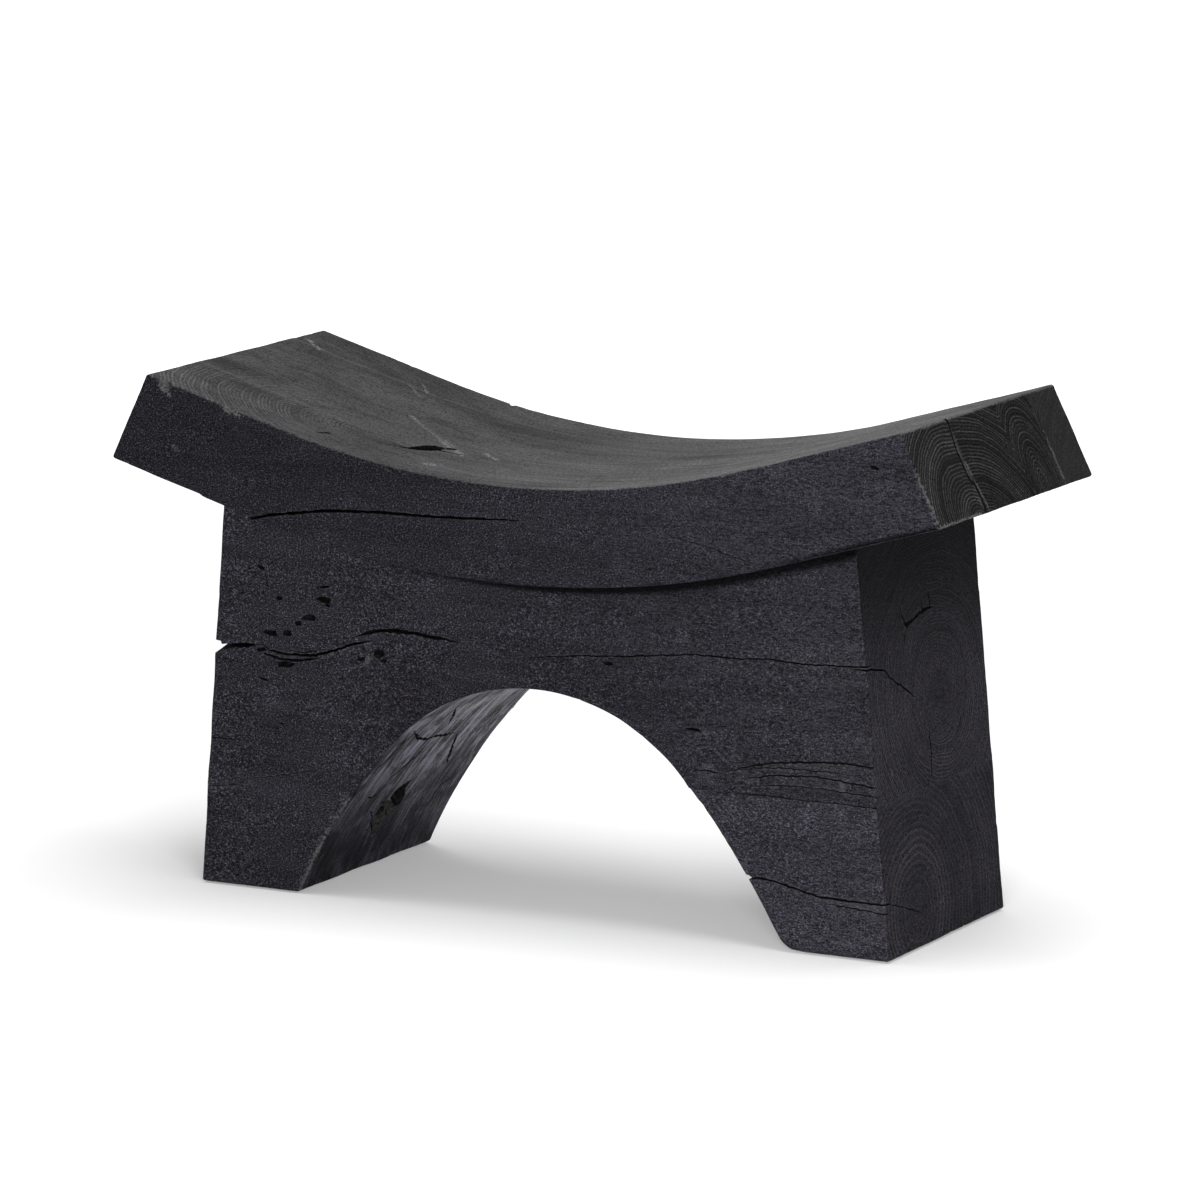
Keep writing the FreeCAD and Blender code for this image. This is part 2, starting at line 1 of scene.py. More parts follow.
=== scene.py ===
# %% [markdown]
# # A blackened saddle stool
# This notebook dresses a stool that already exists as construction: three staves glued into a hollow seat,
# which sits on a beam with two feet and one arch cut through them. The construction gives every size and
# place. Here each timber is modelled again as a worn, checked and wire-brushed block, in metres and in the
# same frame.

# %% Tools and the frame
import json
import math
import random

import bpy
import bmesh
import numpy as np
from mathutils import Matrix, Vector

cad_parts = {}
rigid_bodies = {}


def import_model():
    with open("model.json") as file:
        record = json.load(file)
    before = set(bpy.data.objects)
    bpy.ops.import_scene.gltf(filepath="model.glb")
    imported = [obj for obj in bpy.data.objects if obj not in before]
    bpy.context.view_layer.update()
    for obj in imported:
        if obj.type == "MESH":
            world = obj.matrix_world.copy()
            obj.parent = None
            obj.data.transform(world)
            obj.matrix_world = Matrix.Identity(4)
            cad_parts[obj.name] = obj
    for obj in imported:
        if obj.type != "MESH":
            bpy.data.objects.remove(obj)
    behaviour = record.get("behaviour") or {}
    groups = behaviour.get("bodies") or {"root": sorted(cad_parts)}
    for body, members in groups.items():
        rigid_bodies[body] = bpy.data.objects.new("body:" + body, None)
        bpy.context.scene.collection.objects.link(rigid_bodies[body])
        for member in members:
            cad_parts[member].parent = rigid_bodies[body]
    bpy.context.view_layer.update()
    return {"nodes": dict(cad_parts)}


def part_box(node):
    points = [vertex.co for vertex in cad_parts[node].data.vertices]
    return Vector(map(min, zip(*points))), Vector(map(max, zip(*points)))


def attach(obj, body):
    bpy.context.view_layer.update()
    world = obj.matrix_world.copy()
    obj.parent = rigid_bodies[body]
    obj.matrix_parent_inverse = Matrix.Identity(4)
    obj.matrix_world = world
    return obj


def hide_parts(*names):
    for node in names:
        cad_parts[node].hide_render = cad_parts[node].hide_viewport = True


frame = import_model()
MM = 0.001


def put(name, data):
    """Adds an object with its data to the scene."""
    thing = bpy.data.objects.new(name, data)
    bpy.context.scene.collection.objects.link(thing)
    return thing


def closed_mesh(name, points, faces, finish):
    """A mesh from points and faces, with its normals turned outwards and one finish."""
    mesh = bpy.data.meshes.new(name)
    mesh.from_pydata(points, [], faces)
    build = bmesh.new()
    build.from_mesh(mesh)
    bmesh.ops.recalc_face_normals(build, faces=build.faces)
    build.to_mesh(mesh)
    build.free()
    mesh.materials.append(finish)
    return mesh


print("nodes in the frame:", len(frame["nodes"]))

# %% [markdown]
# ## The seat's section
# The real seat is sawn from thick planks to one hollow section: an arc in the middle, straight wings that
# rise past it, and slanting ends. A section like this could be drawn as a curve and extruded. Here it is
# written as formulas, because every grid point of the detailed timbers has to find its place on it.

# %% Sizes of the seat
SEAT_LENGTH = 0.822
SEAT_HEIGHT = 0.4572
SEAT_THICKNESS = 0.0865
SEAT_CURVE_RADIUS = 0.824
SEAT_RISE = math.radians(16.0)
SEAT_END = math.radians(26.2)
GLUE_LINE = 0.0002

END_SLANT = SEAT_THICKNESS / math.cos(SEAT_END - SEAT_RISE)
TOP_CORNER_X = SEAT_LENGTH / 2 - END_SLANT * math.sin(SEAT_END)
TOP_BEND_X = SEAT_CURVE_RADIUS * math.sin(SEAT_RISE)
TOP_BEND_Z = SEAT_HEIGHT - (TOP_CORNER_X - TOP_BEND_X) * math.tan(SEAT_RISE)
CURVE_CENTRE_Z = TOP_BEND_Z + SEAT_CURVE_RADIUS * math.cos(SEAT_RISE)
UNDER_RADIUS = SEAT_CURVE_RADIUS + SEAT_THICKNESS
SEAT_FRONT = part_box("seat_front_stave")[0].y
SEAT_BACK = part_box("seat_back_stave")[1].y


def saddle_height(x, radius):
    """Height at x of the curve that runs at one radius round the hollow's centre and on along the wings."""
    bend_x = radius * math.sin(SEAT_RISE)
    bend_z = CURVE_CENTRE_Z - radius * math.cos(SEAT_RISE)
    away = np.abs(x)
    on_arc = CURVE_CENTRE_Z - np.sqrt(np.maximum(radius ** 2 - np.minimum(away, bend_x) ** 2, 0))
    return np.where(away < bend_x, on_arc, bend_z + (away - bend_x) * math.tan(SEAT_RISE))


print("seat: top in the middle %.4f, underside %.4f" % (saddle_height(0, SEAT_CURVE_RADIUS),
                                                        saddle_height(0, UNDER_RADIUS)))

# %% [markdown]
# ## The base's outline
# The base is a heavy beam on two feet. Its ends lean inwards, its front is planed slightly out of square,
# and the arch has a round crown with flatter legs. The formulas below repeat that outline, so that the beam
# and the feet can be gridded and meet each other and the seat without gaps.

# %% Sizes of the base
BASE_LENGTH = 0.685
BASE_LEAN = math.radians(4.9)
BASE_SHIFT = 0.018
REVEAL_LEFT = 0.0005
REVEAL_RIGHT = 0.005
CROWN_WOOD = 0.0911
CROWN_RADIUS = 0.194
CROWN_ANGLE = math.radians(46.4)
LEG_RADIUS = 0.562
BASE_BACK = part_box("base_beam")[1].y
FOOT_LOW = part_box("left_foot_block")[0].z
FOOT_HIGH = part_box("left_foot_block")[1].z
BEAM_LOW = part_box("base_beam")[0].z

ARCH_HEIGHT = float(saddle_height(0, UNDER_RADIUS)) - CROWN_WOOD
CROWN_BEND_X = CROWN_RADIUS * math.sin(CROWN_ANGLE)
CROWN_BEND_Z = ARCH_HEIGHT - CROWN_RADIUS * (1 - math.cos(CROWN_ANGLE))
LEG_CENTRE_X = CROWN_BEND_X - LEG_RADIUS * math.sin(CROWN_ANGLE)
LEG_CENTRE_Z = CROWN_BEND_Z - LEG_RADIUS * math.cos(CROWN_ANGLE)


def half_base(z):
    """Half of the base's length at a height."""
    return BASE_LENGTH / 2 - z * math.tan(BASE_LEAN)


def base_front(x):
    """y of the base's front face, which runs back a little towards the right."""
    share = (x - BASE_SHIFT + BASE_LENGTH / 2) / BASE_LENGTH
    return SEAT_FRONT + REVEAL_LEFT + share * (REVEAL_RIGHT - REVEAL_LEFT)


def arch_half(z):
    """Half of the arch's width at a height below its crown."""
    crown = np.sqrt(np.maximum(CROWN_RADIUS ** 2 - (z - ARCH_HEIGHT + CROWN_RADIUS) ** 2, 0))
    leg = LEG_CENTRE_X + np.sqrt(LEG_RADIUS ** 2 - (z - LEG_CENTRE_Z) ** 2)
    return np.where(z > CROWN_BEND_Z, crown, leg)


def arch_height(x):
    """Height of the arch above a place along the base."""
    away = np.abs(x - BASE_SHIFT)
    crown = ARCH_HEIGHT - CROWN_RADIUS + np.sqrt(np.maximum(CROWN_RADIUS ** 2 - away ** 2, 0))
    leg = LEG_CENTRE_Z + np.sqrt(np.maximum(LEG_RADIUS ** 2 - (away - LEG_CENTRE_X) ** 2, 0))
    return np.where(away < CROWN_BEND_X, crown, leg)


ARCH_HALF_AT_SEAM = float(arch_half(BEAM_LOW))
print("arch: %.4f high, %.4f wide on the floor" % (ARCH_HEIGHT, 2 * arch_half(0.0)))

# %% [markdown]
# ## Camera
# The stool is looked at from the front right, a little above the seat, through a long lens. The camera
# comes first, so that each piece can be judged as soon as it is made. Its place and angles were found by
# laying the stool's corners over the photograph.

# %% Camera
CAMERA_PLACE = Vector((2.7672, -4.9837, 1.3316))
CAMERA_YAW = math.radians(29.0222)
CAMERA_PITCH = math.radians(10.6568)
CAMERA_ROLL = math.radians(-0.438)
CAMERA_LENS = 196.886
SENSOR_WIDTH = 36.0

ahead = Vector((-math.sin(CAMERA_YAW) * math.cos(CAMERA_PITCH), math.cos(CAMERA_YAW) * math.cos(CAMERA_PITCH),
                -math.sin(CAMERA_PITCH)))
level = Vector((math.cos(CAMERA_YAW), math.sin(CAMERA_YAW), 0))
above = level.cross(ahead)
right = math.cos(CAMERA_ROLL) * level + math.sin(CAMERA_ROLL) * above
up = math.cos(CAMERA_ROLL) * above - math.sin(CAMERA_ROLL) * level
lens = bpy.data.cameras.new("camera")
lens.lens = CAMERA_LENS
lens.sensor_width = SENSOR_WIDTH
lens.sensor_fit = "HORIZONTAL"
lens.clip_end = 100.0
camera = put("camera", lens)
camera.matrix_world = Matrix((right, up, -ahead)).transposed().to_4x4()
camera.location = CAMERA_PLACE
bpy.context.scene.camera = camera
print("camera is %.2f m from the stool" % CAMERA_PLACE.length)

# %% [markdown]
# ## Names for the finishes
# Cutting a hollow into a timber also decides what its inside looks like. So the finishes get their names
# first, each piece and each cutter is given one of them, and their nodes are built further down, once the
# shapes stand.

# %% Finishes by name
TIMBERS = ("seat_front_stave", "seat_middle_stave", "seat_back_stave", "base_beam", "left_foot_block",
           "right_foot_block")
blackened = {node: bpy.data.materials.new(f"blackened wood of {node}") for node in TIMBERS}
# Hollows are near black inside: the wood there is taken as black, and painted shade darkens it further.
black_shaded_hollow = bpy.data.materials.new("black hollow with painted shade")
scuffed = bpy.data.materials.new("scuffed wood")
crumbled = bpy.data.materials.new("crumbled knot")
bored = bpy.data.materials.new("bored wood")
print("finishes for the timbers:", len(blackened) + 4)

# %% [markdown]
# ## Gridded blocks
# A timber is a box that has been bent. Its skin could be a subdivided cube, but then the points near an
# arris would be as far apart as those in the middle of a face. So the grid lines are chosen: close
# together where an edge is worn round, and a few millimetres apart elsewhere, fine enough for dents and
# brush marks.

# %% Grid lines and the skin of a block
GRID_STEP = 0.0045
EDGE_LINES = (0.0, 0.0009, 0.0019, 0.0031, 0.0048)
EDGE_BAND = EDGE_LINES[-1]


def grid_lines(length, fine_start=True, fine_end=True, extra=()):
    """Places of the grid lines along one side of a block, from 0 to its length."""
    start = EDGE_LINES if fine_start else (0.0,)
    end = [length - place for place in (EDGE_LINES if fine_end else (0.0,))][::-1]
    count = max(2, round((end[0] - start[-1]) / GRID_STEP))
    middle = np.linspace(start[-1], end[0], count + 1)[1:-1]
    lines = sorted([*start, *middle, *end])
    for place in extra:
        nearest = min(range(len(lines)), key=lambda i: abs(lines[i] - place))
        lines[nearest] = place
    return np.array(lines)


def block_skin(lines):
    """Grid points on the six sides of a block, and the quads between them."""
    counts = [len(side) for side in lines]
    steps = np.indices(counts)
    outside = np.zeros(counts, bool)
    for axis in range(3):
        outside |= (steps[axis] == 0) | (steps[axis] == counts[axis] - 1)
    number = np.full(counts, -1)
    number[outside] = np.arange(outside.sum())
    spots = np.stack([lines[axis][steps[axis][outside]] for axis in range(3)], axis=1)
    quads = []
    for axis in range(3):
        for end in (0, -1):
            side = np.take(number, end, axis=axis)
            corners = [side[:-1, :-1], side[1:, :-1], side[1:, 1:], side[:-1, 1:]]
            quads.append(np.stack(corners, axis=-1).reshape(-1, 4))
    return spots, np.concatenate(quads)


print("grid lines along the seat:", len(grid_lines(SEAT_LENGTH)))

# %% [markdown]
# ## Wear
# Old, brushed timber has no flat face and no sharp edge. A sculptor would rub these in by hand. Here a few
# long sine waves, each with its own seed, give a smooth wander that is the same on every run: it deepens
# the rounding of the arrises in some places, hollows the faces by a few tenths of a millimetre, and bites
# nicks into the edges. Everything is taken away and never added, as wear does, so no timber outgrows its
# place.

# %% Worn arrises and faces
EDGE_RADIUS = 0.0023
EDGE_WEAR = 0.0010
FACE_WEAR = 0.0005
BRUSH_DEPTH = 0.0002
NICK_DEPTH = 0.0008
NICK_SHARE = 0.86
RADIUS_WAVES = (0.11, 0.09, 0.07)
HOLLOW_WAVES = (0.16, 0.1, 0.08)
BRUSH_WAVES = (0.12, 0.014, 0.014)
NICK_WAVES = (0.019, 0.021, 0.019)
ARRIS_SHARE = 0.25
FACE_SHARE = 0.98
KEPT_REACH = 0.3
WAVES = 6
WAVE_CONTRAST = 0.8
WEAR_SEED = 11


def wander(spots, wavelengths, seed):
    """A smooth random value from 0 to 1 at each spot; wavelengths are its sizes along X, Y and Z."""
    draw = random.Random(seed)
    total = np.zeros(len(spots))
    for _ in range(WAVES):
        wave = [draw.choice((-1, 1)) * draw.uniform(0.6, 1.5) * 2 * math.pi / size for size in wavelengths]
        total += np.sin(spots @ np.array(wave) + draw.uniform(0, 2 * math.pi))
    return np.clip(0.5 + WAVE_CONTRAST * total / WAVES, 0, 1)


def worn(spots, sizes, places, margins_low, margins_high, extra_radius):
    """Rounds the free arrises of a block and wears its free faces. A margin is 0 on a glued side."""
    radius = EDGE_RADIUS + EDGE_WEAR * wander(places, RADIUS_WAVES, WEAR_SEED)[:, None] + extra_radius(spots)
    core = np.clip(spots, margins_low * radius, sizes - margins_high * radius)
    out = spots - core
    length = np.linalg.norm(out, axis=1)
    reach = np.abs(out).max(axis=1)
    hollow = FACE_WEAR * wander(places, HOLLOW_WAVES, WEAR_SEED + 1)
    hollow += BRUSH_DEPTH * wander(places, BRUSH_WAVES, WEAR_SEED + 2)
    on_arris = np.sort(np.abs(out), axis=1)[:, 1] > radius[:, 0] * ARRIS_SHARE
    bite = np.clip(wander(places, NICK_WAVES, WEAR_SEED + 3) - NICK_SHARE, 0, 1) / (1 - NICK_SHARE)
    hollow += np.where(on_arris, NICK_DEPTH * bite, 0)
    on_free_face = reach > radius[:, 0] * FACE_SHARE
    reach = np.where(on_free_face, np.maximum(reach - hollow, reach * KEPT_REACH), reach)
    return core + out / np.maximum(length, 1e-9)[:, None] * reach[:, None]


print("arrises are worn to between %.1f and %.1f mm" % (EDGE_RADIUS / MM, (EDGE_RADIUS + EDGE_WEAR) / MM))

# %% From a grid to a timber
SIDES = {"left": (0, 0), "right": (0, 1), "front": (1, 0), "back": (1, 1), "under": (2, 0), "top": (2, 1)}


def stretched(spots, nominal, sizes):
    """Fits a nominal grid to the true sizes at each spot. Lines near the arrises keep their distance."""
    span = np.maximum(nominal - 2 * EDGE_BAND, 1e-6)
    share = np.clip((spots - EDGE_BAND) / span, 0, 1)
    middle = EDGE_BAND + share * (sizes - 2 * EDGE_BAND)
    near_end = sizes - (nominal - spots)
    return np.where(spots <= EDGE_BAND, spots, np.where(spots >= nominal - EDGE_BAND, near_end, middle))


def make_timber(name, nominal, measure, place, glued, extra=(), rim=None, extra_radius=lambda spots: 0):
    """Makes one timber: its grid, its wear and its mesh.

    measure gives the true sizes of the block at each spot, and place puts a spot where it is on the stool.
    rim gives how free the underside's arrises are at each spot, where only part of that side is glued.
    extra_radius rounds some arrises more than the rest.
    """
    lines = []
    for axis in range(3):
        ends = [(axis, 0), (axis, 1)]
        fine = [end not in [SIDES[side] for side in glued] for end in ends]
        lines.append(grid_lines(nominal[axis], *fine, extra if axis == 0 else ()))
    grid, quads = block_skin(lines)
    sizes = measure(grid)
    spots = stretched(grid, np.array(nominal), sizes)
    low, high = np.ones_like(spots), np.ones_like(spots)
    for side in glued:
        axis, end = SIDES[side]
        (high if end else low)[:, axis] = 0
    if rim is not None:
        low[:, 2] = rim(spots)
    points = place(worn(spots, sizes, place(spots), low, high, extra_radius))
    mesh = closed_mesh(name, points.tolist(), quads.tolist(), blackened[name])
    timber = put(name + "_timber", mesh)
    print(f"{timber.name}: {len(points)} points, {len(quads)} quads")
    return timber


# %% [markdown]
# ## The three staves of the seat
# The seat is too deep for one plank, so three staves are glued edge to edge and then cut to the saddle. All
# three share one bend: along the middle the grid turns about the hollow's centre, and past it runs straight
# up the wing to the slanting end. Only their front and back faces differ, and the glued faces stay flat and
# sharp.

# %% Staves
WING_MIDDLE = ((TOP_CORNER_X - TOP_BEND_X) / math.cos(SEAT_RISE)
               + END_SLANT / 2 * math.sin(SEAT_END - SEAT_RISE))
ARC_MIDDLE = (SEAT_CURVE_RADIUS + SEAT_THICKNESS / 2) * SEAT_RISE
STAVE_RUN = 2 * (ARC_MIDDLE + WING_MIDDLE)
BEND_SHARE = ARC_MIDDLE / (ARC_MIDDLE + WING_MIDDLE)
RIM_FADE = 0.006
REVEAL_START = -0.20
REVEAL_RUN = 0.15


def bend_to_saddle(spots, front):
    """Bends a straight stave into the saddle. spots run along it, back from its front, and up."""
    along = 2 * spots[:, 0] / STAVE_RUN - 1
    down = SEAT_THICKNESS - spots[:, 2]
    radius = SEAT_CURVE_RADIUS + down
    angle = SEAT_RISE * np.clip(along / BEND_SHARE, -1, 1)
    past = np.clip((np.abs(along) - BEND_SHARE) / (1 - BEND_SHARE), 0, None)
    end_x = TOP_CORNER_X + down / SEAT_THICKNESS * END_SLANT * math.sin(SEAT_END)
    wing = (end_x - radius * math.sin(SEAT_RISE)) / math.cos(SEAT_RISE) * past
    x = radius * np.sin(angle) + np.sign(along) * wing * math.cos(SEAT_RISE)
    z = CURVE_CENTRE_Z - radius * np.cos(angle) + wing * math.sin(SEAT_RISE)
    return np.stack([x, front + spots[:, 1], z], axis=1)


def stave_rim(spots, front):
    """1 where the underside is free, and 0 where it rests on the base.

    It is free past the base's ends and behind it, and at the front where the base steps back."""
    places = bend_to_saddle(spots, front)
    x, y = places[:, 0], places[:, 1]
    base_low, base_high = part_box("base_beam")
    past_end = np.maximum(base_low.x - x, x - base_high.x) / RIM_FADE
    behind = (y - BASE_BACK) / RIM_FADE
    stepped = np.where(y < SEAT_FRONT + EDGE_BAND, (x - REVEAL_START) / REVEAL_RUN, 0)
    return np.clip(np.maximum(np.maximum(past_end, behind), stepped), 0, 1)


def make_stave(name, glued):
    """One stave between the front and back of its node."""
    low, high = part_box(name)
    nominal = (STAVE_RUN, high.y - low.y, SEAT_THICKNESS)
    return make_timber(name, nominal, lambda grid: np.tile(nominal, (len(grid), 1)),
                       lambda spots: bend_to_saddle(spots, low.y), glued,
                       rim=lambda spots: stave_rim(spots, low.y))


timbers = {
    "seat_front_stave": make_stave("seat_front_stave", ["back"]),
    "seat_middle_stave": make_stave("seat_middle_stave", ["front", "back"]),
    "seat_back_stave": make_stave("seat_back_stave", ["front"]),
}

# %% [markdown]
# ## The beam and the feet
# The beam's underside is partly glued to the feet and partly the crown of the arch, and its top is scooped
# to the seat's curve. So its grid columns stand upright and each is as tall as the wood is there. In a foot
# the rows lie level, and each is as long as the wood between the arch and the leaning end. The wear depends
# only on the place, so an arris that runs over a glue seam is worn alike on both sides of it.

# %% Beam
BEAM_RUN = 2 * half_base(BEAM_LOW)
BASE_DEPTH = BASE_BACK - SEAT_FRONT - REVEAL_LEFT
BEAM_TALL = 0.16
LEAN_ZONE = 0.2


def beam_x(spots):
    """Where a column of the beam's grid stands along the stool."""
    return BASE_SHIFT - BEAM_RUN / 2 + spots[:, 0]


def beam_foot(x):
    """Height of the beam's underside: the arch in the middle, and the seam beside it."""
    in_arch = np.abs(x - BASE_SHIFT) < ARCH_HALF_AT_SEAM
    return np.where(in_arch, np.maximum(arch_height(x), BEAM_LOW), BEAM_LOW)


def bed_height(x):
    """Height of the bed that the seat is glued into."""
    return saddle_height(x, UNDER_RADIUS + GLUE_LINE)


def beam_sizes(spots):
    """Length, depth and height of the beam at each spot."""
    x = beam_x(spots)
    depth, tall = BASE_BACK - base_front(x), bed_height(x) - beam_foot(x)
    return np.stack([np.full(len(x), BEAM_RUN), depth, tall], axis=1)


def place_beam(spots):
    """Puts the beam's spots on the stool, and leans its two ends inwards."""
    x = beam_x(spots)
    z = beam_foot(x) + spots[:, 2]
    away = (np.abs(x - BASE_SHIFT) - LEAN_ZONE) / (BEAM_RUN / 2 - LEAN_ZONE)
    lean = np.clip(away, 0, 1.1) * (half_base(BEAM_LOW) - half_base(z))
    leaning = x - np.sign(x - BASE_SHIFT) * lean
    z = beam_foot(x) + spots[:, 2] * (bed_height(leaning) - beam_foot(x)) / (bed_height(x) - beam_foot(x))
    return np.stack([leaning, base_front(leaning) + spots[:, 1], z], axis=1)


def beam_rim(spots):
    """1 where the beam's underside is the arch, and 0 where it is glued to a foot."""
    away = np.abs(beam_x(spots) - BASE_SHIFT)
    return np.clip((ARCH_HALF_AT_SEAM + RIM_FADE / 2 - away) / RIM_FADE, 0, 1)


kinks = [BEAM_RUN / 2 - ARCH_HALF_AT_SEAM, BEAM_RUN / 2 + ARCH_HALF_AT_SEAM]
timbers["base_beam"] = make_timber("base_beam", (BEAM_RUN, BASE_DEPTH, BEAM_TALL), beam_sizes, place_beam,
                                   ["top"], kinks, beam_rim)

# %% Feet
FOOT_RUN = 0.14
TOE_RADIUS = 0.007
TOE_REACH = 0.016


def foot_ends(z, side):
    """x of a foot's left and right faces at a height; side is 1 for the right foot and -1 for the left."""
    inner = BASE_SHIFT + side * arch_half(z)
    outer = BASE_SHIFT + side * half_base(z)
    return (inner, outer) if side > 0 else (outer, inner)


def make_foot(name, side):
    """One foot, from the floor glides up to the seam under the beam."""
    def sizes(spots):
        left, right_end = foot_ends(FOOT_LOW + spots[:, 2], side)
        depth = BASE_BACK - base_front((left + right_end) / 2)
        return np.stack([right_end - left, depth, np.full(len(spots), FOOT_HIGH - FOOT_LOW)], axis=1)

    def place(spots):
        z = FOOT_LOW + spots[:, 2]
        x = foot_ends(z, side)[0] + spots[:, 0]
        middle = sum(foot_ends(z, side)) / 2
        run = BASE_BACK - base_front(middle)
        y = BASE_BACK - (run - spots[:, 1]) / run * (BASE_BACK - base_front(x))
        return np.stack([x, y, z], axis=1)

    def toe(spots):
        """The right foot has been kicked round at the arch's foot."""
        if side < 0:
            return 0
        return TOE_RADIUS * np.exp(-(spots[:, 0] ** 2 + spots[:, 2] ** 2) / TOE_REACH ** 2)[:, None]

    nominal = (FOOT_RUN, BASE_DEPTH, FOOT_HIGH - FOOT_LOW)
    return make_timber(name, nominal, sizes, place, ["top"], extra_radius=toe)


timbers["left_foot_block"] = make_foot("left_foot_block", -1)
timbers["right_foot_block"] = make_foot("right_foot_block", 1)

# %% [markdown]
# ## Cutters
# Checks, worm holes and broken knots are real hollows, and they show as such when the light moves. Each is
# cut with its own small solid. A check's cutter is a thin wedge that follows a jagged line over the face. A
# hole's cutter is a lump pressed into the wood. The lines are placed on the faces where the photograph
# shows them, in millimetres, and a seeded draw makes them ragged between those points.

# %% Faces to draw on
END_NORMAL = Vector((math.cos(SEAT_END), 0, math.sin(SEAT_END)))


def on_seat_front(points):
    """Places on the seat's front from (x, z) in millimetres, with the way into the wood."""
    return [(Vector((x * MM, SEAT_FRONT, z * MM)), Vector((0, 1, 0))) for x, z in points]


def on_seat_back(points):
    """Places on the seat's back from (x, z) in millimetres."""
    return [(Vector((x * MM, SEAT_BACK, z * MM)), Vector((0, -1, 0))) for x, z in points]


def on_seat_top(points):
    """Places on the hollow top from (x, y) in millimetres."""
    found = []
    for x, y in points:
        slope = math.asin(max(-1, min(1, x * MM / SEAT_CURVE_RADIUS)))
        slope = max(-SEAT_RISE, min(SEAT_RISE, slope))
        height = float(saddle_height(x * MM, SEAT_CURVE_RADIUS))
        found.append((Vector((x * MM, y * MM, height)), Vector((math.sin(slope), 0, -math.cos(slope)))))
    return found


def on_seat_end(points, side=1):
    """Places on the seat's end from (y, z) in millimetres; side is 1 for the right end."""
    found = []
    for y, z in points:
        x = TOP_CORNER_X + (SEAT_HEIGHT - z * MM) * math.tan(SEAT_END)
        found.append((Vector((side * x, y * MM, z * MM)), Vector((-side * END_NORMAL.x, 0, -END_NORMAL.z))))
    return found


def on_base_front(points):
    """Places on the base's front from (x, z) in millimetres."""
    return [(Vector((x * MM, base_front(x * MM), z * MM)), Vector((0, 1, 0))) for x, z in points]


def on_base_back(points):
    """Places on the base's back from (x, z) in millimetres."""
    return [(Vector((x * MM, BASE_BACK, z * MM)), Vector((0, -1, 0))) for x, z in points]


def on_base_end(points, side=1):
    """Places on the base's end from (y, z) in millimetres; side is 1 for the right end."""
    return [(Vector((BASE_SHIFT + side * half_base(z * MM), y * MM, z * MM)), Vector((-side, 0, 0)))
            for y, z in points]


def on_arch_wall(points):
    """Places on the arch's left wall from (y, z) in millimetres."""
    found = []
    for y, z in points:
        half = float(arch_half(z * MM))
        crown = z * MM > CROWN_BEND_Z
        outward = half if crown else half - LEG_CENTRE_X
        upward = z * MM - (ARCH_HEIGHT - CROWN_RADIUS if crown else LEG_CENTRE_Z)
        way = Vector((-outward, 0, upward)).normalized()
        found.append((Vector((BASE_SHIFT - half, y * MM, z * MM)), way))
    return found


print("middle of the seat's top:", on_seat_top([(0, 0)])[0][0])

# %% A check's wedge
RAGGED_STEP = 0.003
RAGGED = 0.0005
LIFT = 0.0016
TAPER = 0.22
LEAST_WIDTH = 0.08
LEAST_DEPTH = 0.15
WEDGE_SPREAD = (1.05, 0.72, 0.12)
WEDGE_SHOULDER = 0.35
WEDGE_RING = (0, 2, 4, 5, 3, 1)
cutters = []


def add_cutter(name, points, faces, finish):
    """Makes a closed cutter from points and faces. The hollow that it cuts gets its finish."""
    cutters.append(put(name, closed_mesh(name, points, faces, finish)))


def ragged_line(line, draw, jitter):
    """Adds jagged points between the given ones of a line of (place, way in)."""
    found = []
    for (start, way), (end, way_after) in zip(line, line[1:]):
        steps = max(1, round((end - start).length / RAGGED_STEP))
        side = (end - start).normalized().cross(way)
        for step in range(steps):
            share = step / steps
            shift = draw.uniform(-jitter, jitter) if found else 0
            found.append((start.lerp(end, share) + side * shift, way.lerp(way_after, share).normalized()))
    return found + [line[-1]]


def check(name, line, width, depth, opened="", finish=black_shaded_hollow, jitter=RAGGED):
    """A wedge along a line on a face: width at the surface and depth into the wood, in metres.

    Both fade to nothing towards an end that isn't open. opened is "", "start", "end" or "both"."""
    open_start, open_end = opened in ("start", "both"), opened in ("end", "both")
    draw = random.Random(name)
    run = ragged_line(line, draw, jitter)
    points, faces = [], []
    for number, (spot, way) in enumerate(run):
        share = number / (len(run) - 1)
        ends = min(1 if open_start else share / TAPER, 1 if open_end else (1 - share) / TAPER, 1)
        swell = (LEAST_WIDTH + (1 - LEAST_WIDTH) * ends) * draw.uniform(0.75, 1.25)
        before, after = run[max(number - 1, 0)][0], run[min(number + 1, len(run) - 1)][0]
        across = (after - before).normalized().cross(way).normalized() * (width * swell / 2)
        low = depth * (LEAST_DEPTH + (1 - LEAST_DEPTH) * ends) * draw.uniform(0.8, 1.15)
        for lift, spread in zip((-LIFT, low * WEDGE_SHOULDER, low), WEDGE_SPREAD):
            points += [spot + way * lift - across * spread, spot + way * lift + across * spread]
    for number in range(len(run) - 1):
        here, there = 6 * number, 6 * (number + 1)
        for this, following in zip(WEDGE_RING, WEDGE_RING[1:] + WEDGE_RING[:1]):
            faces.append((here + this, here + following, there + following, there + this))
    faces.append(WEDGE_RING)
    faces.append(tuple(6 * (len(run) - 1) + corner for corner in reversed(WEDGE_RING)))
    add_cutter(name, points, faces, finish)


def cut_checks(on_face, rows, finish=black_shaded_hollow, jitter=RAGGED, **side):
    """Cuts checks into one face. A row is (name, width, depth, open ends, points), in millimetres."""
    for name, width, depth, opened, points in rows:
        check(name, on_face(points, **side), width * MM, depth * MM, opened, finish, jitter)


# %% A hole's lump
LUMP_DETAIL = 2
STEEP = 0.7


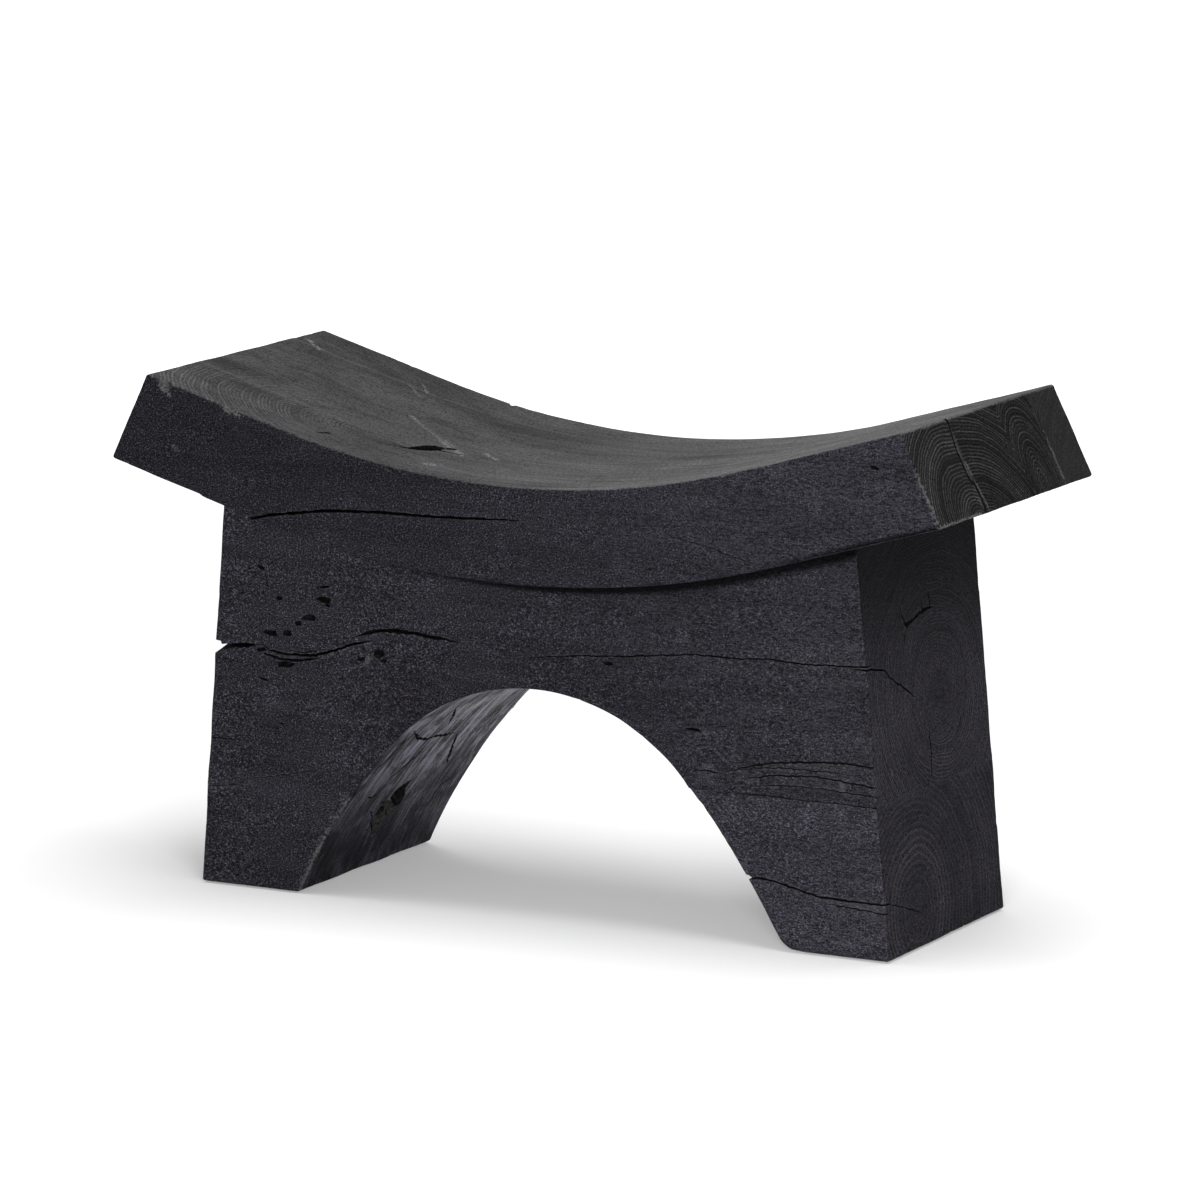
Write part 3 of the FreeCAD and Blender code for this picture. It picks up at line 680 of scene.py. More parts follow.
def lump(name, place, sizes, depth, tilt=0.0, rough=0.25, finish=black_shaded_hollow):
    """A ragged lump pressed into a face. sizes are along and across the face, tilt turns it on the face."""
    spot, way = place
    draw = random.Random(name)
    upright = Vector((0, 0, 1)) if abs(way.z) < STEEP else Vector((0, 1, 0))
    along = upright.cross(way).normalized()
    across = way.cross(along).normalized()
    turn = Matrix.Rotation(tilt, 3, way)
    along, across = turn @ along, turn @ across
    build = bmesh.new()
    bmesh.ops.create_icosphere(build, subdivisions=LUMP_DETAIL, radius=1.0)
    for vert in build.verts:
        vert.co *= 1 + draw.uniform(-rough, rough)
        sideways = along * vert.co.x * sizes[0] / 2 + across * vert.co.y * sizes[1] / 2
        vert.co = spot + (sideways + way * vert.co.z * depth)
    points = [vert.co.copy() for vert in build.verts]
    faces = [tuple(vert.index for vert in face.verts) for face in build.faces]
    build.free()
    add_cutter(name, points, faces, finish)


# %% A hollow
HOLLOW_STEP = 0.0022
HOLLOW_JITTER = 0.0006
HOLLOW_SINK = 0.0002
HOLLOW_LAYERS = ((0.0, 1.0), (0.35, 0.93), (0.75, 0.78), (1.0, 0.5))


def hollow(name, outline, depth, finish=black_shaded_hollow):
    """A ragged hole with an outline of (place, way in) around it, that narrows as it goes down."""
    draw = random.Random(name)
    way = sum((way for _, way in outline), Vector()).normalized()
    ring = []
    for (start, _), (end, _) in zip(outline, outline[1:] + outline[:1]):
        steps = max(1, round((end - start).length / HOLLOW_STEP))
        for step in range(steps):
            jitter = Vector([draw.uniform(-HOLLOW_JITTER, HOLLOW_JITTER) for _ in range(3)])
            ring.append(start.lerp(end, step / steps) + jitter)
    middle = sum(ring, Vector()) / len(ring)
    points = [spot - way * LIFT for spot in ring]
    for share, width in HOLLOW_LAYERS:
        for spot in ring:
            inward = middle + (spot - middle) * width * draw.uniform(0.93, 1.04)
            points.append(inward + way * (depth * share * draw.uniform(0.8, 1.1) + HOLLOW_SINK))
    count, faces = len(ring), []
    for layer in range(len(HOLLOW_LAYERS)):
        for number in range(count):
            here, following = layer * count + number, layer * count + (number + 1) % count
            faces.append((here, following, following + count, here + count))
    points += [middle - way * LIFT, middle + way * depth]
    last = len(HOLLOW_LAYERS) * count
    faces += [(k, (k + 1) % count, len(points) - 2) for k in range(count)]
    faces += [(last + k, last + (k + 1) % count, len(points) - 1) for k in range(count)]
    add_cutter(name, points, faces, finish)


# %% A knock on an arris
KNOCK_RADIUS = 0.012
KNOCK_ROUGHNESS = 0.07


def knock(name, x, y, z, long, deep, outward):
    """A shallow scoop out of an arris: a large lump that only just reaches into the wood."""
    way = -outward.normalized()
    spot = Vector((x * MM, y * MM, z * MM)) - way * (KNOCK_RADIUS - deep)
    spread = long / (2 * math.sqrt(2 * KNOCK_RADIUS * deep))
    sizes = (2 * KNOCK_RADIUS * spread, 2 * KNOCK_RADIUS)
    lump(name, (spot, way), sizes, KNOCK_RADIUS, 0.0, KNOCK_ROUGHNESS, scuffed)


# %% [markdown]
# ## Checks and holes in the seat
# The seat's front has one long drying check that opens at the left, where it meets the lower arris. Its top
# has a broken knot, and its right end shows the seam between two staves sprung open. The arrises have been
# knocked in transport and use, which a few lumps on the edges stand for.

# %% Seat: front
cut_checks(on_seat_front, [
    ("front_long_check", 2.8, 16, "start", [
        (-266, 335), (-243, 340), (-217, 344), (-186, 348), (-153, 350), (-125, 351), (-89, 351), (-56, 352),
        (-7, 354), (23, 355)]),
], jitter=0.0003)
cut_checks(on_seat_front, [
    ("front_right_check", 0.9, 6, "", [(138, 356), (193, 346), (222, 338), (253, 333)]),
    ("front_low_check", 0.9, 4, "", [(331, 366), (338, 357)]),
])
lump("front_worm_slot", on_seat_front([(349, 426)])[0], (0.010, 0.0032), 0.006, 0.15)
lump("front_nick", on_seat_front([(-342, 391)])[0], (0.004, 0.005), 0.0012, finish=scuffed)
print("cutters for the seat's front:", len(cutters))

# %% Seat: top
TOP_HOLE = [(-158, -84), (-150, -81.5), (-146, -78), (-144, -68), (-141, -57), (-135, -49), (-127, -49.5),
            (-122, -53), (-124, -63), (-130, -72), (-137, -79), (-147, -84)]
hollow("top_hole", on_seat_top(TOP_HOLE), 0.012)
cut_checks(on_seat_top, [
    ("top_hole_start", 2.2, 6, "end", [(-166, -88), (-158, -84.5), (-150, -82)]),
    ("top_tail", 3.0, 6, "start", [(-124, -62), (-112, -60), (-100, -56)]),
])
lump("top_tail_pit", on_seat_top([(-121, -47)])[0], (0.007, 0.012), 0.005, 0.6)
cut_checks(on_seat_top, [("top_short_check", 4.2, 5, "", [(-213, -122), (-209, -117), (-206, -110)])])
cut_checks(on_seat_top, [
    ("top_scar", 5.0, 1.0, "", [(-199, 16), (-165, -8), (-131, -34), (-110, -52)]),
    ("top_scratch_1", 2.4, 0.6, "", [(-250, 99), (-225, 77)]),
    ("top_scratch_2", 2.0, 0.6, "", [(-243, 112), (-227, 93)]),
], scuffed)
print("cutters with the seat's top:", len(cutters))

# %% Seat: ends
cut_checks(on_seat_end, [
    ("open_seam", 3.0, 26, "both", [
        (-63, 461), (-63.3, 453.8), (-64.8, 446.6), (-67.5, 438), (-69.0, 430), (-67.8, 420.7),
        (-67.8, 409.2), (-62.3, 399.3), (-62.9, 379.6), (-63, 374)]),
    ("back_seam_groove", 1.2, 4, "start", [(95.5, 460), (96.8, 442.6), (95.5, 425), (95.4, 406)]),
    ("back_end_check", 0.7, 4, "", [(108.6, 420.6), (117, 414), (124.1, 410)]),
])
cut_checks(on_seat_end, [
    ("left_end_check", 1.3, 12, "start", [(-100, 452), (-96, 436), (-101, 421), (-97, 410)]),
    ("left_end_heart_check", 1.6, 14, "", [(14, 432), (33, 427), (52, 419), (61, 407)]),
], side=-1)
print("cutters with the seat's ends:", len(cutters))

# %% Seat: knocks on the arrises
UP_FRONT, UP_BACK, UP_LEFT = Vector((0, -0.7, 0.7)), Vector((0, 0.7, 0.7)), Vector((-0.6, 0, 0.8))
EDGE_KNOCKS = [
    (-352, -151.5, 445.5, 0.013, 0.0040, UP_FRONT),
    (-285, -151.5, 431.5, 0.018, 0.0042, UP_FRONT),
    (205, -151.5, 409.5, 0.012, 0.0022, UP_FRONT),
    (-373, 106, 456.5, 0.010, 0.0035, UP_LEFT),
    (-275, 151.5, 429.5, 0.016, 0.0035, UP_BACK),
    (-170, 151.5, 401.5, 0.010, 0.0070, UP_BACK),
    (-47, 151.5, 385.5, 0.012, 0.0022, UP_BACK),
    (108, 151.5, 391, 0.010, 0.0026, UP_BACK),
    (246, 151.5, 421, 0.012, 0.0025, UP_BACK),
]
for number, (x, y, z, long, deep, outward) in enumerate(EDGE_KNOCKS):
    knock(f"edge_knock_{number}", x, y, z, long, deep, outward)
print("knocks:", len(EDGE_KNOCKS))

# %% [markdown]
# ## Checks and holes in the base
# The beam was cut from old wood: insects have bored the left of its front, drying checks run with the grain
# from both ends, and the right end shows shakes that follow the rings. A knot has dropped out of the arch's
# left wall.

# %% Base: front checks
cut_checks(on_base_front, [
    ("left_notch", 12.5, 30, "start", [(-309, 217), (-303, 217), (-297, 216.5)]),
    ("left_gape", 4.6, 18, "start", [(-303, 217.5), (-297, 217), (-286, 219), (-275, 220.5), (-261, 222)]),
    ("left_check", 2.5, 14, "", [
        (-268, 221.5), (-255, 223), (-249, 218), (-232, 216), (-204, 217), (-181, 224), (-159, 232),
        (-133, 237)]),
    ("left_check_branch", 2.6, 8, "", [(-262, 216), (-250, 213.5), (-236, 211), (-214, 212), (-196, 216)]),
    ("left_check_splinter", 1.2, 6, "", [(-228, 219.5), (-214, 219), (-196, 223)]),
    ("middle_check", 3.6, 12, "", [
        (-166, 235.5), (-155, 240), (-138, 245), (-119, 246.5), (-106, 246), (-77, 244), (-50, 241)]),
])
lump("middle_check_hole", on_base_front([(-117, 246.5)])[0], (0.016, 0.0052), 0.010, 0.0, 0.3)
cut_checks(on_base_front, [
    ("long_check", 1.4, 12, "end", [
        (-28, 229), (31, 236.5), (69, 241), (107, 243.5), (176, 251.5), (214, 251), (245, 253.5), (275, 252),
        (306, 253), (338, 254), (352, 253)]),
    ("fine_check_1", 0.6, 4, "end", [(301, 236), (325, 237), (352, 237)]),
    ("fine_check_2", 0.6, 3, "", [(242, 210), (262, 211), (277, 210.5)]),
    ("dark_grain_1", 2.2, 3, "end", [(200, 150), (220, 157), (249, 164), (286, 168), (319, 170), (352, 168)]),
    ("dark_grain_2", 1.8, 3, "", [(176, 151), (188, 151.5), (200, 150)]),
    ("dark_grain_3", 1.7, 3, "end", [(214, 146), (250, 153), (290, 156), (330, 153), (352, 151)]),
    ("dark_grain_4", 1.3, 2, "", [(206, 152), (232, 158), (262, 160.5), (300, 161), (330, 160)]),
    ("dark_grain_5", 1.2, 2, "end", [(222, 141), (256, 145), (296, 146), (352, 143.5)]),
    ("knot_check", 3.0, 9, "", [(166, 186), (173, 186.5), (181, 185)]),
    ("seam_groove", 1.2, 3, "end", [(186, 133), (225, 134.3), (257, 135), (289, 134.5), (352, 134)]),
    ("left_seam_groove", 1.1, 3, "start", [(-320, 134), (-300, 134), (-279, 134.5)]),
    ("left_foot_check_1", 0.9, 4, "start", [(-322, 89), (-300, 91), (-279, 94)]),
    ("left_foot_check_2", 0.8, 4, "", [(-276, 100), (-253, 103), (-231, 108), (-188, 118)]),
    ("right_foot_notch", 4.2, 22, "start", [(214, 60.5), (223, 61.5), (230, 62)]),
    ("right_foot_check", 2.0, 14, "both", [
        (221, 61), (238, 62.5), (257, 60), (279, 54.6), (294, 52), (319, 51), (362, 51)]),
    ("right_foot_branch", 1.4, 8, "end", [(299, 46.7), (329, 45.2), (362, 42.5)]),
])
print("cutters with the base's front:", len(cutters))

# %% Base: worm holes
WORM_HOLES = [
    (-256, 292, 7, 3), (-268, 290, 2.5, 2), (-238, 266, 7, 3), (-254, 270, 2.5, 2), (-191, 279.6, 9, 2.2),
    (-192, 268, 16, 4.5), (-188, 263.5, 6, 2), (-207, 251, 14, 4.5), (-219, 245, 6, 3.6), (-230, 235, 8, 4),
    (-247, 234, 14, 4.2), (-233, 207, 16, 4.5), (-136, 224.5, 9, 6.5), (-132, 219, 5, 3),
    (-155, 218.4, 8, 3.2), (-255, 191.6, 10, 1.6), (-258, 218, 9, 3), (92, 236, 9, 2.5),
    (-266, 150, 2.5, 1.6), (-259, 148, 3, 1.6),
    (-251, 149, 2.5, 1.6), (-242, 148, 2.5, 1.6), (-237, 153, 3, 1.8),
]
DEEPEST_WORM = 8
for number, (x, z, long, tall) in enumerate(WORM_HOLES):
    tilt = random.Random(number).uniform(-0.25, 0.25)
    lump(f"worm_hole_{number}", on_base_front([(x, z)])[0], (1.15 * long * MM, 1.35 * tall * MM),
         min(long, DEEPEST_WORM) * MM, tilt, 0.3)
print("worm holes:", len(WORM_HOLES))

# %% Base: end checks
cut_checks(on_base_end, [
    ("end_check", 1.9, 14, "start", [
        (-152, 252), (-138, 251), (-125, 248.5), (-113, 246), (-103, 238), (-93, 232), (-73, 222),
        (-52, 209)]),
    ("ring_shake", 3.4, 12, "", [
        (-74, 297), (-72.7, 286), (-66, 277), (-57.7, 278), (-39.6, 282.7), (-24.7, 284.9), (-9.4, 283.2)]),
])
lump("ring_shake_pit", on_base_end([(-66, 277)])[0], (0.010, 0.005), 0.006, 0.5)
cut_checks(on_base_end, [
    ("ring_shake_leg", 1.8, 10, "start", [(-64, 277), (-70, 268), (-74, 258), (-78, 248)]),
    ("ring_shake_spur_1", 3.0, 6, "start", [(-34, 284), (-35, 294)]),
    ("ring_shake_spur_2", 3.0, 6, "start", [(-19, 284.5), (-20.5, 299)]),
    ("heart_check", 2.4, 10, "", [(-37.7, 188), (-38.2, 160), (-40, 134)]),
    ("end_slant_check", 1.4, 4, "", [(-133, 186), (-116, 158), (-101, 135)]),
    ("foot_end_check", 1.2, 9, "start", [(-150, 51), (-139, 50.7), (-108, 41), (-84, 33), (-65, 22)]),
])
cut_checks(on_base_end, [
    ("left_heart_check", 1.8, 14, "", [(-50, 262), (-38, 240), (-41, 214), (-30, 190)]),
    ("left_notch_side", 3.5, 12, "start", [(-156, 217), (-140, 218), (-118, 221), (-96, 219)]),
    ("left_foot_end_check", 1.3, 10, "", [(-60, 96), (-45, 78), (-42, 52)]),
], side=-1)
print("cutters with the base's ends:", len(cutters))

# %% Base: the arch's left wall
KNOT_VOID = [(-37, 88), (-38, 78), (-29, 70), (-28, 61), (-38, 60), (-50, 67), (-59, 73), (-58, 81),
             (-48, 85)]
KNOT_POCKET = [(-70, 60), (-67, 65), (-57, 65), (-51, 58), (-58, 54)]
KNOT_BED = [(-58, 72), (-66, 72), (-70, 64), (-72, 54), (-64, 42), (-54, 40), (-46, 50), (-36, 59)]
CRUMB_COUNT = 16
hollow("knot_void", on_arch_wall(KNOT_VOID), 0.016)
hollow("knot_pocket", on_arch_wall(KNOT_POCKET), 0.009)
hollow("knot_bed", on_arch_wall(KNOT_BED), 0.0024, finish=crumbled)
crumb_draw = random.Random(5)
for number in range(CRUMB_COUNT):
    spot = (crumb_draw.uniform(-74, -40), crumb_draw.uniform(44, 72))
    sizes = (crumb_draw.uniform(3, 7) * MM, crumb_draw.uniform(2, 4) * MM)
    deep, tilt = crumb_draw.uniform(3.5, 7) * MM, crumb_draw.uniform(-1, 1)
    lump(f"crumble_{number}", on_arch_wall([spot])[0], sizes, deep, tilt, 0.35,
         crumb_draw.choice((crumbled, black_shaded_hollow)))
cut_checks(on_arch_wall, [
    ("wall_short_check", 3.0, 6, "", [(-112, 85), (-102, 83), (-94, 85)]),
    ("wall_low_check", 1.9, 7, "", [(-89, 68), (-76, 60), (-66, 50), (-57, 40), (-50, 30)]),
], jitter=0.0008)
cut_checks(on_arch_wall, [
    ("wall_seam_check", 3.8, 7, "", [
        (-131, 155), (-101, 141), (-76, 134.5), (-61, 135), (-36, 131), (-11, 129)]),
    ("wall_back_check", 4.2, 9, "", [(-11, 129), (1, 115), (10, 103), (22, 89)]),
    ("wall_middle_check", 3.8, 7, "", [(-65, 129), (-67, 116), (-81, 105), (-94, 95)]),
    ("wall_front_check", 3.8, 7, "", [(-128, 150), (-126, 139), (-133, 124), (-141, 111)]),
    ("wall_crown_check", 3.8, 7, "", [(-79, 166), (-60, 154), (-52, 144)]),
], jitter=0.0009)
cut_checks(on_arch_wall, [("wall_low_groove", 2.4, 3, "", [(58, 72), (40, 66), (36, 58), (40, 48)])])
print("cutters with the arch's wall:", len(cutters))

# %% [markdown]
# ## The sides that the photograph doesn't show
# The back must be as old as the front. A seeded draw lays drying checks along the grain of the seat's and
# the base's back.

# %% Back checks
SEAT_BACK_CHECKS = 5
BASE_BACK_CHECKS = 9
back_draw = random.Random(83)
for number in range(SEAT_BACK_CHECKS):
    x = back_draw.uniform(-300, 220)
    z = float(saddle_height(x * MM, UNDER_RADIUS)) / MM + back_draw.uniform(18, 66)
    run = back_draw.uniform(50, 150)
    rise = float(saddle_height((x + run) * MM, UNDER_RADIUS)) - float(saddle_height(x * MM, UNDER_RADIUS))
    slope = rise / MM
    line = [(x, z), (x + run / 2, z + slope * 0.35 + back_draw.uniform(-4, 4)), (x + run, z + slope * 0.7)]
    check(f"seat_back_check_{number}", on_seat_back(line), back_draw.uniform(0.8, 2.0) * MM, 0.009)
for number in range(BASE_BACK_CHECKS):
    x = back_draw.choice((-290, -250, -60, 60, 190, 230)) + back_draw.uniform(-15, 15)
    z = back_draw.uniform(225, 285) if abs(x) < 150 else back_draw.uniform(30, 270)
    run = back_draw.uniform(35, 90)
    line = [(x, z), (x + run / 2, z + back_draw.uniform(-4, 4)), (x + run, z + back_draw.uniform(-5, 5))]
    check(f"base_back_check_{number}", on_base_back(line), back_draw.uniform(0.7, 2.2) * MM, 0.010)
print("cutters for checks and holes:", len(cutters))

# %% [markdown]
# ## Bores for the fixings
# Dowels, bolts, plugs, glides and their screws are construction, and keep their own pieces. The detailed
# timbers need room for them, so each fixing's solids are copied, swollen by the real clearance and added to
# the cutters. Nobody sees the dowels, but a timber with its bores can be taken away and the joint still
# makes sense.

# %% Swollen copies of the fixings
CLEARANCE = 0.0001
MERGE = 1e-6
FIXINGS = ["front_seam_dowels", "back_seam_dowels", "seat_dowels", "left_foot_dowels", "right_foot_dowels",
           "seat_bolts", "left_front_glide", "left_back_glide", "right_front_glide", "right_back_glide"]


def loose_solids(node):
    """The separate solids of a node, each as (points, faces)."""
    build = bmesh.new()
    build.from_mesh(frame["nodes"][node].data)
    bmesh.ops.remove_doubles(build, verts=build.verts, dist=MERGE)
    build.verts.index_update()
    left, solids = set(build.verts), []
    while left:
        island, queue = set(), [left.pop()]
        while queue:
            vert = queue.pop()
            if vert in island:
                continue
            island.add(vert)
            beside = [edge.other_vert(vert) for edge in vert.link_edges]
            queue += [other for other in beside if other not in island]
        left -= island
        order = {vert: number for number, vert in enumerate(sorted(island, key=lambda v: v.index))}
        faces = [tuple(order[v] for v in face.verts) for face in build.faces if face.verts[0] in island]
        solids.append(([vert.co.copy() for vert in order], faces))
    build.free()
    return solids


def hull_of(points, faces):
    """The convex hull of some points, so that a cutter has no bore of its own."""
    build = bmesh.new()
    for point in points:
        build.verts.new(point)
    bmesh.ops.convex_hull(build, input=build.verts)
    bmesh.ops.delete(build, geom=[v for v in build.verts if not v.link_faces], context="VERTS")
    build.verts.index_update()
    hull_points = [vert.co.copy() for vert in build.verts]
    hull_faces = [tuple(vert.index for vert in face.verts) for face in build.faces]
    build.free()
    return hull_points, hull_faces


def reach_of(points):
    """Lowest and highest corner of some points."""
    return [Vector([pick(point[axis] for point in points) for axis in range(3)]) for pick in (min, max)]


def swell(points):
    """The points moved away from their middle by the clearance, along each axis."""
    low, high = reach_of(points)
    middle, half = (low + high) / 2, (high - low) / 2
    return [Vector([middle[axis] + (point[axis] - middle[axis]) * (1 + CLEARANCE / half[axis])
                    for axis in range(3)]) for point in points]


for node in FIXINGS:
    for number, (points, faces) in enumerate(loose_solids(node)):
        hull, hull_faces = hull_of(points, faces)
        add_cutter(f"bore_{node}_{number}", swell(hull), hull_faces, bored)

# %% Counterbores and screw holes
ROUND_SIDES = 48
COUNTERBORE_RADIUS = 0.0135
SCREW_RADIUS = 0.00185
PAST_CROWN = 0.01
PAST_FOOT = 0.002
PAST_TIP = 0.0005


def round_cutter(name, x, y, low, high, radius):
    """A round cutter that stands upright."""
    count = ROUND_SIDES
    ring = [(x + radius * math.cos(2 * math.pi * k / count), y + radius * math.sin(2 * math.pi * k / count))
            for k in range(count)]
    points = [(u, v, z) for z in (low, high) for u, v in ring]
    faces = [(k, (k + 1) % count, count + (k + 1) % count, count + k) for k in range(count)]
    faces += [tuple(reversed(range(count))), tuple(range(count, 2 * count))]
    add_cutter(name, points, faces, bored)


washer_low, washer_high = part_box("bolt_washers")
washer_half = (washer_high.x - washer_low.x) / 2
bolt_x = (washer_low.x + washer_high.x) / 2
for name, y in (("front", washer_low.y + washer_half), ("back", washer_high.y - washer_half)):
    round_cutter(f"counterbore_{name}", bolt_x, y, ARCH_HEIGHT - PAST_CROWN, washer_high.z,
                 COUNTERBORE_RADIUS)
for number, (points, faces) in enumerate(loose_solids("glide_screws")):
    low, high = reach_of(points)
    round_cutter(f"screw_hole_{number}", (low.x + high.x) / 2, (low.y + high.y) / 2, FOOT_LOW - PAST_FOOT,
                 high.z + PAST_TIP, SCREW_RADIUS)
print("cutters in all:", len(cutters))

# %% [markdown]
# ## Cutting
# A timber with thirty hollows could be cut one boolean at a time, but each cut goes over the whole mesh
# again. Here the cutters that reach a timber are gathered in a collection, and one boolean modifier takes
# them all away at once. The fast manifold solver suits this, because both the timbers and the cutters are
# closed. It also hands the cutters' finishes on to the new faces.

# %% Cut every timber
SHARP_ANGLE = math.radians(42)


def corner_box(thing):
    """Lowest and highest corner of an object's mesh."""
    places = np.array([vert.co for vert in thing.data.vertices])
    return places.min(axis=0), places.max(axis=0)


def cut_timber(timber):
    """Applies every cutter that reaches the timber, and returns how many did."""
    low, high = corner_box(timber)
    reaching = bpy.data.collections.new(f"cutters of {timber.name}")
    bpy.context.scene.collection.children.link(reaching)
    for cutter in cutters:
        cutter_low, cutter_high = corner_box(cutter)
        if (cutter_low < high).all() and (cutter_high > low).all():
            reaching.objects.link(cutter)
    cut = timber.modifiers.new("hollows", "BOOLEAN")
    cut.operation = "DIFFERENCE"
    cut.operand_type = "COLLECTION"
    cut.collection = reaching
    cut.solver = "MANIFOLD"
    cut.material_mode = "TRANSFER"
    layer = bpy.context.evaluated_depsgraph_get()
    done = bpy.data.meshes.new_from_object(timber.evaluated_get(layer))
    timber.modifiers.clear()
    timber.data = done
    done.name = timber.name
    used = len(reaching.objects)
    bpy.data.collections.remove(reaching)
    return used


for node, timber in timbers.items():
    before = len(timber.data.polygons)
    used = cut_timber(timber)
    mesh = timber.data
    mesh.polygons.foreach_set("use_smooth", np.ones(len(mesh.polygons), bool))
    mesh.set_sharp_from_angle(angle=SHARP_ANGLE)
    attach(timber, "root")
    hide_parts(node)
    print(f"{timber.name}: {used} cutters, {before} faces before and {len(mesh.polygons)} after")
for cutter in cutters:
    bpy.data.objects.remove(cutter)

# %% [markdown]
# ## Shader tools
# The finishes are built from nodes in code. A few short helpers keep that readable: one links a value or
# sets a constant, one adds a math node, and one opens a node group with named inputs and outputs.

# %% Node helpers
def feed(tree, value, socket):
    """Links a socket to a socket, or sets a constant on it."""
    if isinstance(value, bpy.types.NodeSocket):
        tree.links.new(value, socket)
    else:
        socket.default_value = value


def compute(tree, operation, *values, clamp=False):
    """Adds a math node and returns its result."""
    node = tree.nodes.new("ShaderNodeMath")
    node.operation = operation
    node.use_clamp = clamp
    for value, socket in zip(values, node.inputs):
        feed(tree, value, socket)
    return node.outputs[0]


def times(tree, *values):
    """The product of two or more values."""
    product = values[0]
    for value in values[1:]:
        product = compute(tree, "MULTIPLY", product, value)
    return product


def minus(tree, first, second):
    """The first value less the second."""
    return compute(tree, "SUBTRACT", first, second)


def size_of(tree, value):
    """A value without its sign."""
    return compute(tree, "ABSOLUTE", value)


def mixed(tree, share, first, second):
    """A number between two numbers."""
    return compute(tree, "ADD", first, times(tree, share, minus(tree, second, first)))


def weighted(tree, start, *parts):
    """start plus each value times its weight."""
    total = start
    for value, weight in parts:
        total = compute(tree, "MULTIPLY_ADD", value, weight, total)
    return total


def ramp(tree, value, start, end, low=0.0, high=1.0):
    """Runs smoothly from low to high as a value goes from start to end."""
    node = tree.nodes.new("ShaderNodeMapRange")
    node.interpolation_type = "SMOOTHSTEP"
    names = ("Value", "From Min", "From Max", "To Min", "To Max")
    for name, number in zip(names, (value, start, end, low, high)):
        feed(tree, number, node.inputs[name])
    return node.outputs["Result"]


# %% Vector, noise and colour helpers


def vector(tree, operation, first, second=(0, 0, 0)):
    """Adds a vector math node and returns its vector, or its value for a length or a distance."""
    node = tree.nodes.new("ShaderNodeVectorMath")
    node.operation = operation
    feed(tree, first, node.inputs[0])
    feed(tree, second, node.inputs[1])
    return node.outputs["Value" if operation in ("DISTANCE", "DOT_PRODUCT", "LENGTH") else "Vector"]


def scaled(tree, value, amount):
    """A vector or colour times a number."""
    node = tree.nodes.new("ShaderNodeVectorMath")
    node.operation = "SCALE"
    feed(tree, value, node.inputs[0])
    feed(tree, amount, node.inputs["Scale"])
    return node.outputs["Vector"]


def split(tree, place):
    """The X, Y and Z of a place, by name."""
    node = tree.nodes.new("ShaderNodeSeparateXYZ")
    feed(tree, place, node.inputs[0])
    return node.outputs


def noise(tree, place, scale, detail=2.0, roughness=0.5, distortion=0.0, squeeze=None):
    """Adds a noise texture and returns its value. squeeze shortens the place along X, Y and Z first."""
    if squeeze is not None:
        place = vector(tree, "MULTIPLY", place, squeeze)
    node = tree.nodes.new("ShaderNodeTexNoise")
    names = ("Vector", "Scale", "Detail", "Roughness", "Distortion")
    for name, number in zip(names, (place, scale, detail, roughness, distortion)):
        feed(tree, number, node.inputs[name])
    return node.outputs["Fac"]


def ring_noise(tree, count, scale):
    """Noise that changes from ring to ring."""
    node = tree.nodes.new("ShaderNodeTexNoise")
    node.noise_dimensions = "1D"
    feed(tree, count, node.inputs["W"])
    node.inputs["Scale"].default_value = scale
    return node.outputs["Fac"]


def blend(tree, share, first, second):
    """Mixes two colours and returns the result."""
    node = tree.nodes.new("ShaderNodeMix")
    node.data_type = "RGBA"
    feed(tree, share, node.inputs["Factor"])
    for number, colour in zip((6, 7), (first, second)):
        feed(tree, (*colour, 1.0) if isinstance(colour, tuple) else colour, node.inputs[number])
    return node.outputs[2]


# %% Group helpers
NUMBER, PLACE = "NodeSocketFloat", "NodeSocketVector"


def open_group(title, inputs, outputs):
    """A new node group: inputs is {name: (socket kind, default)}, and outputs are the names of numbers."""
    group = bpy.data.node_groups.new(title, "ShaderNodeTree")
    for name, (kind, default) in inputs.items():
        group.interface.new_socket(name=name, in_out="INPUT", socket_type=kind).default_value = default
    for name in outputs:
        group.interface.new_socket(name=name, in_out="OUTPUT", socket_type=NUMBER)
    return group, group.nodes.new("NodeGroupInput").outputs, group.nodes.new("NodeGroupOutput").inputs


def use_group(tree, group, **values):
    """Places a group in a tree, with its inputs set by name (an underscore stands for a space)."""
    node = tree.nodes.new("ShaderNodeGroup")
    node.node_tree = group
    for name, value in values.items():
        feed(tree, value, node.inputs[name.replace("_", " ")])
    return node.outputs


print("helpers ready")

# %% [markdown]
# ## Growth rings
# A tree's rings are cones about its heart. Sawn across they show as circles, on a long face as stripes, and
# on a slanting one as nested arches. A picture of grain would have to be drawn for each face. Instead the
# group measures how far each point of the wood is from the heart, so all the faces of a timber agree at
# their arrises. A second heart, a knot and a slow wander make the rings as uneven as the real ones.

# %% Growth rings group
NOWHERE = (0, 9, 0)
ALONG_GRAIN = (0.22, 1.0, 1.0)
SECOND_SHAPE = (0.05, 1.26, 0.79)
HEARTS_MERGE = 0.004
WAVER = 4.0
KNOT_PUSH = 0.45
rings, here, out = open_group(
    "growth rings",
    {"Place": (PLACE, (0, 0, 0)), "Heart": (PLACE, (0, 0, 0)), "Drift": (PLACE, (0, 0, 0)),
     "Squeeze": (NUMBER, 1.0), "Second Heart": (PLACE, NOWHERE), "Second Start": (NUMBER, 0.0),
     "Knot": (PLACE, NOWHERE), "Knot Size": (NUMBER, 0.02), "Spacing": (NUMBER, 0.004),
     "Wander": (NUMBER, 0.006), "Heart Lines": (NUMBER, 1.0)},
    ("Line", "Tone", "Knot Mask", "Core"))

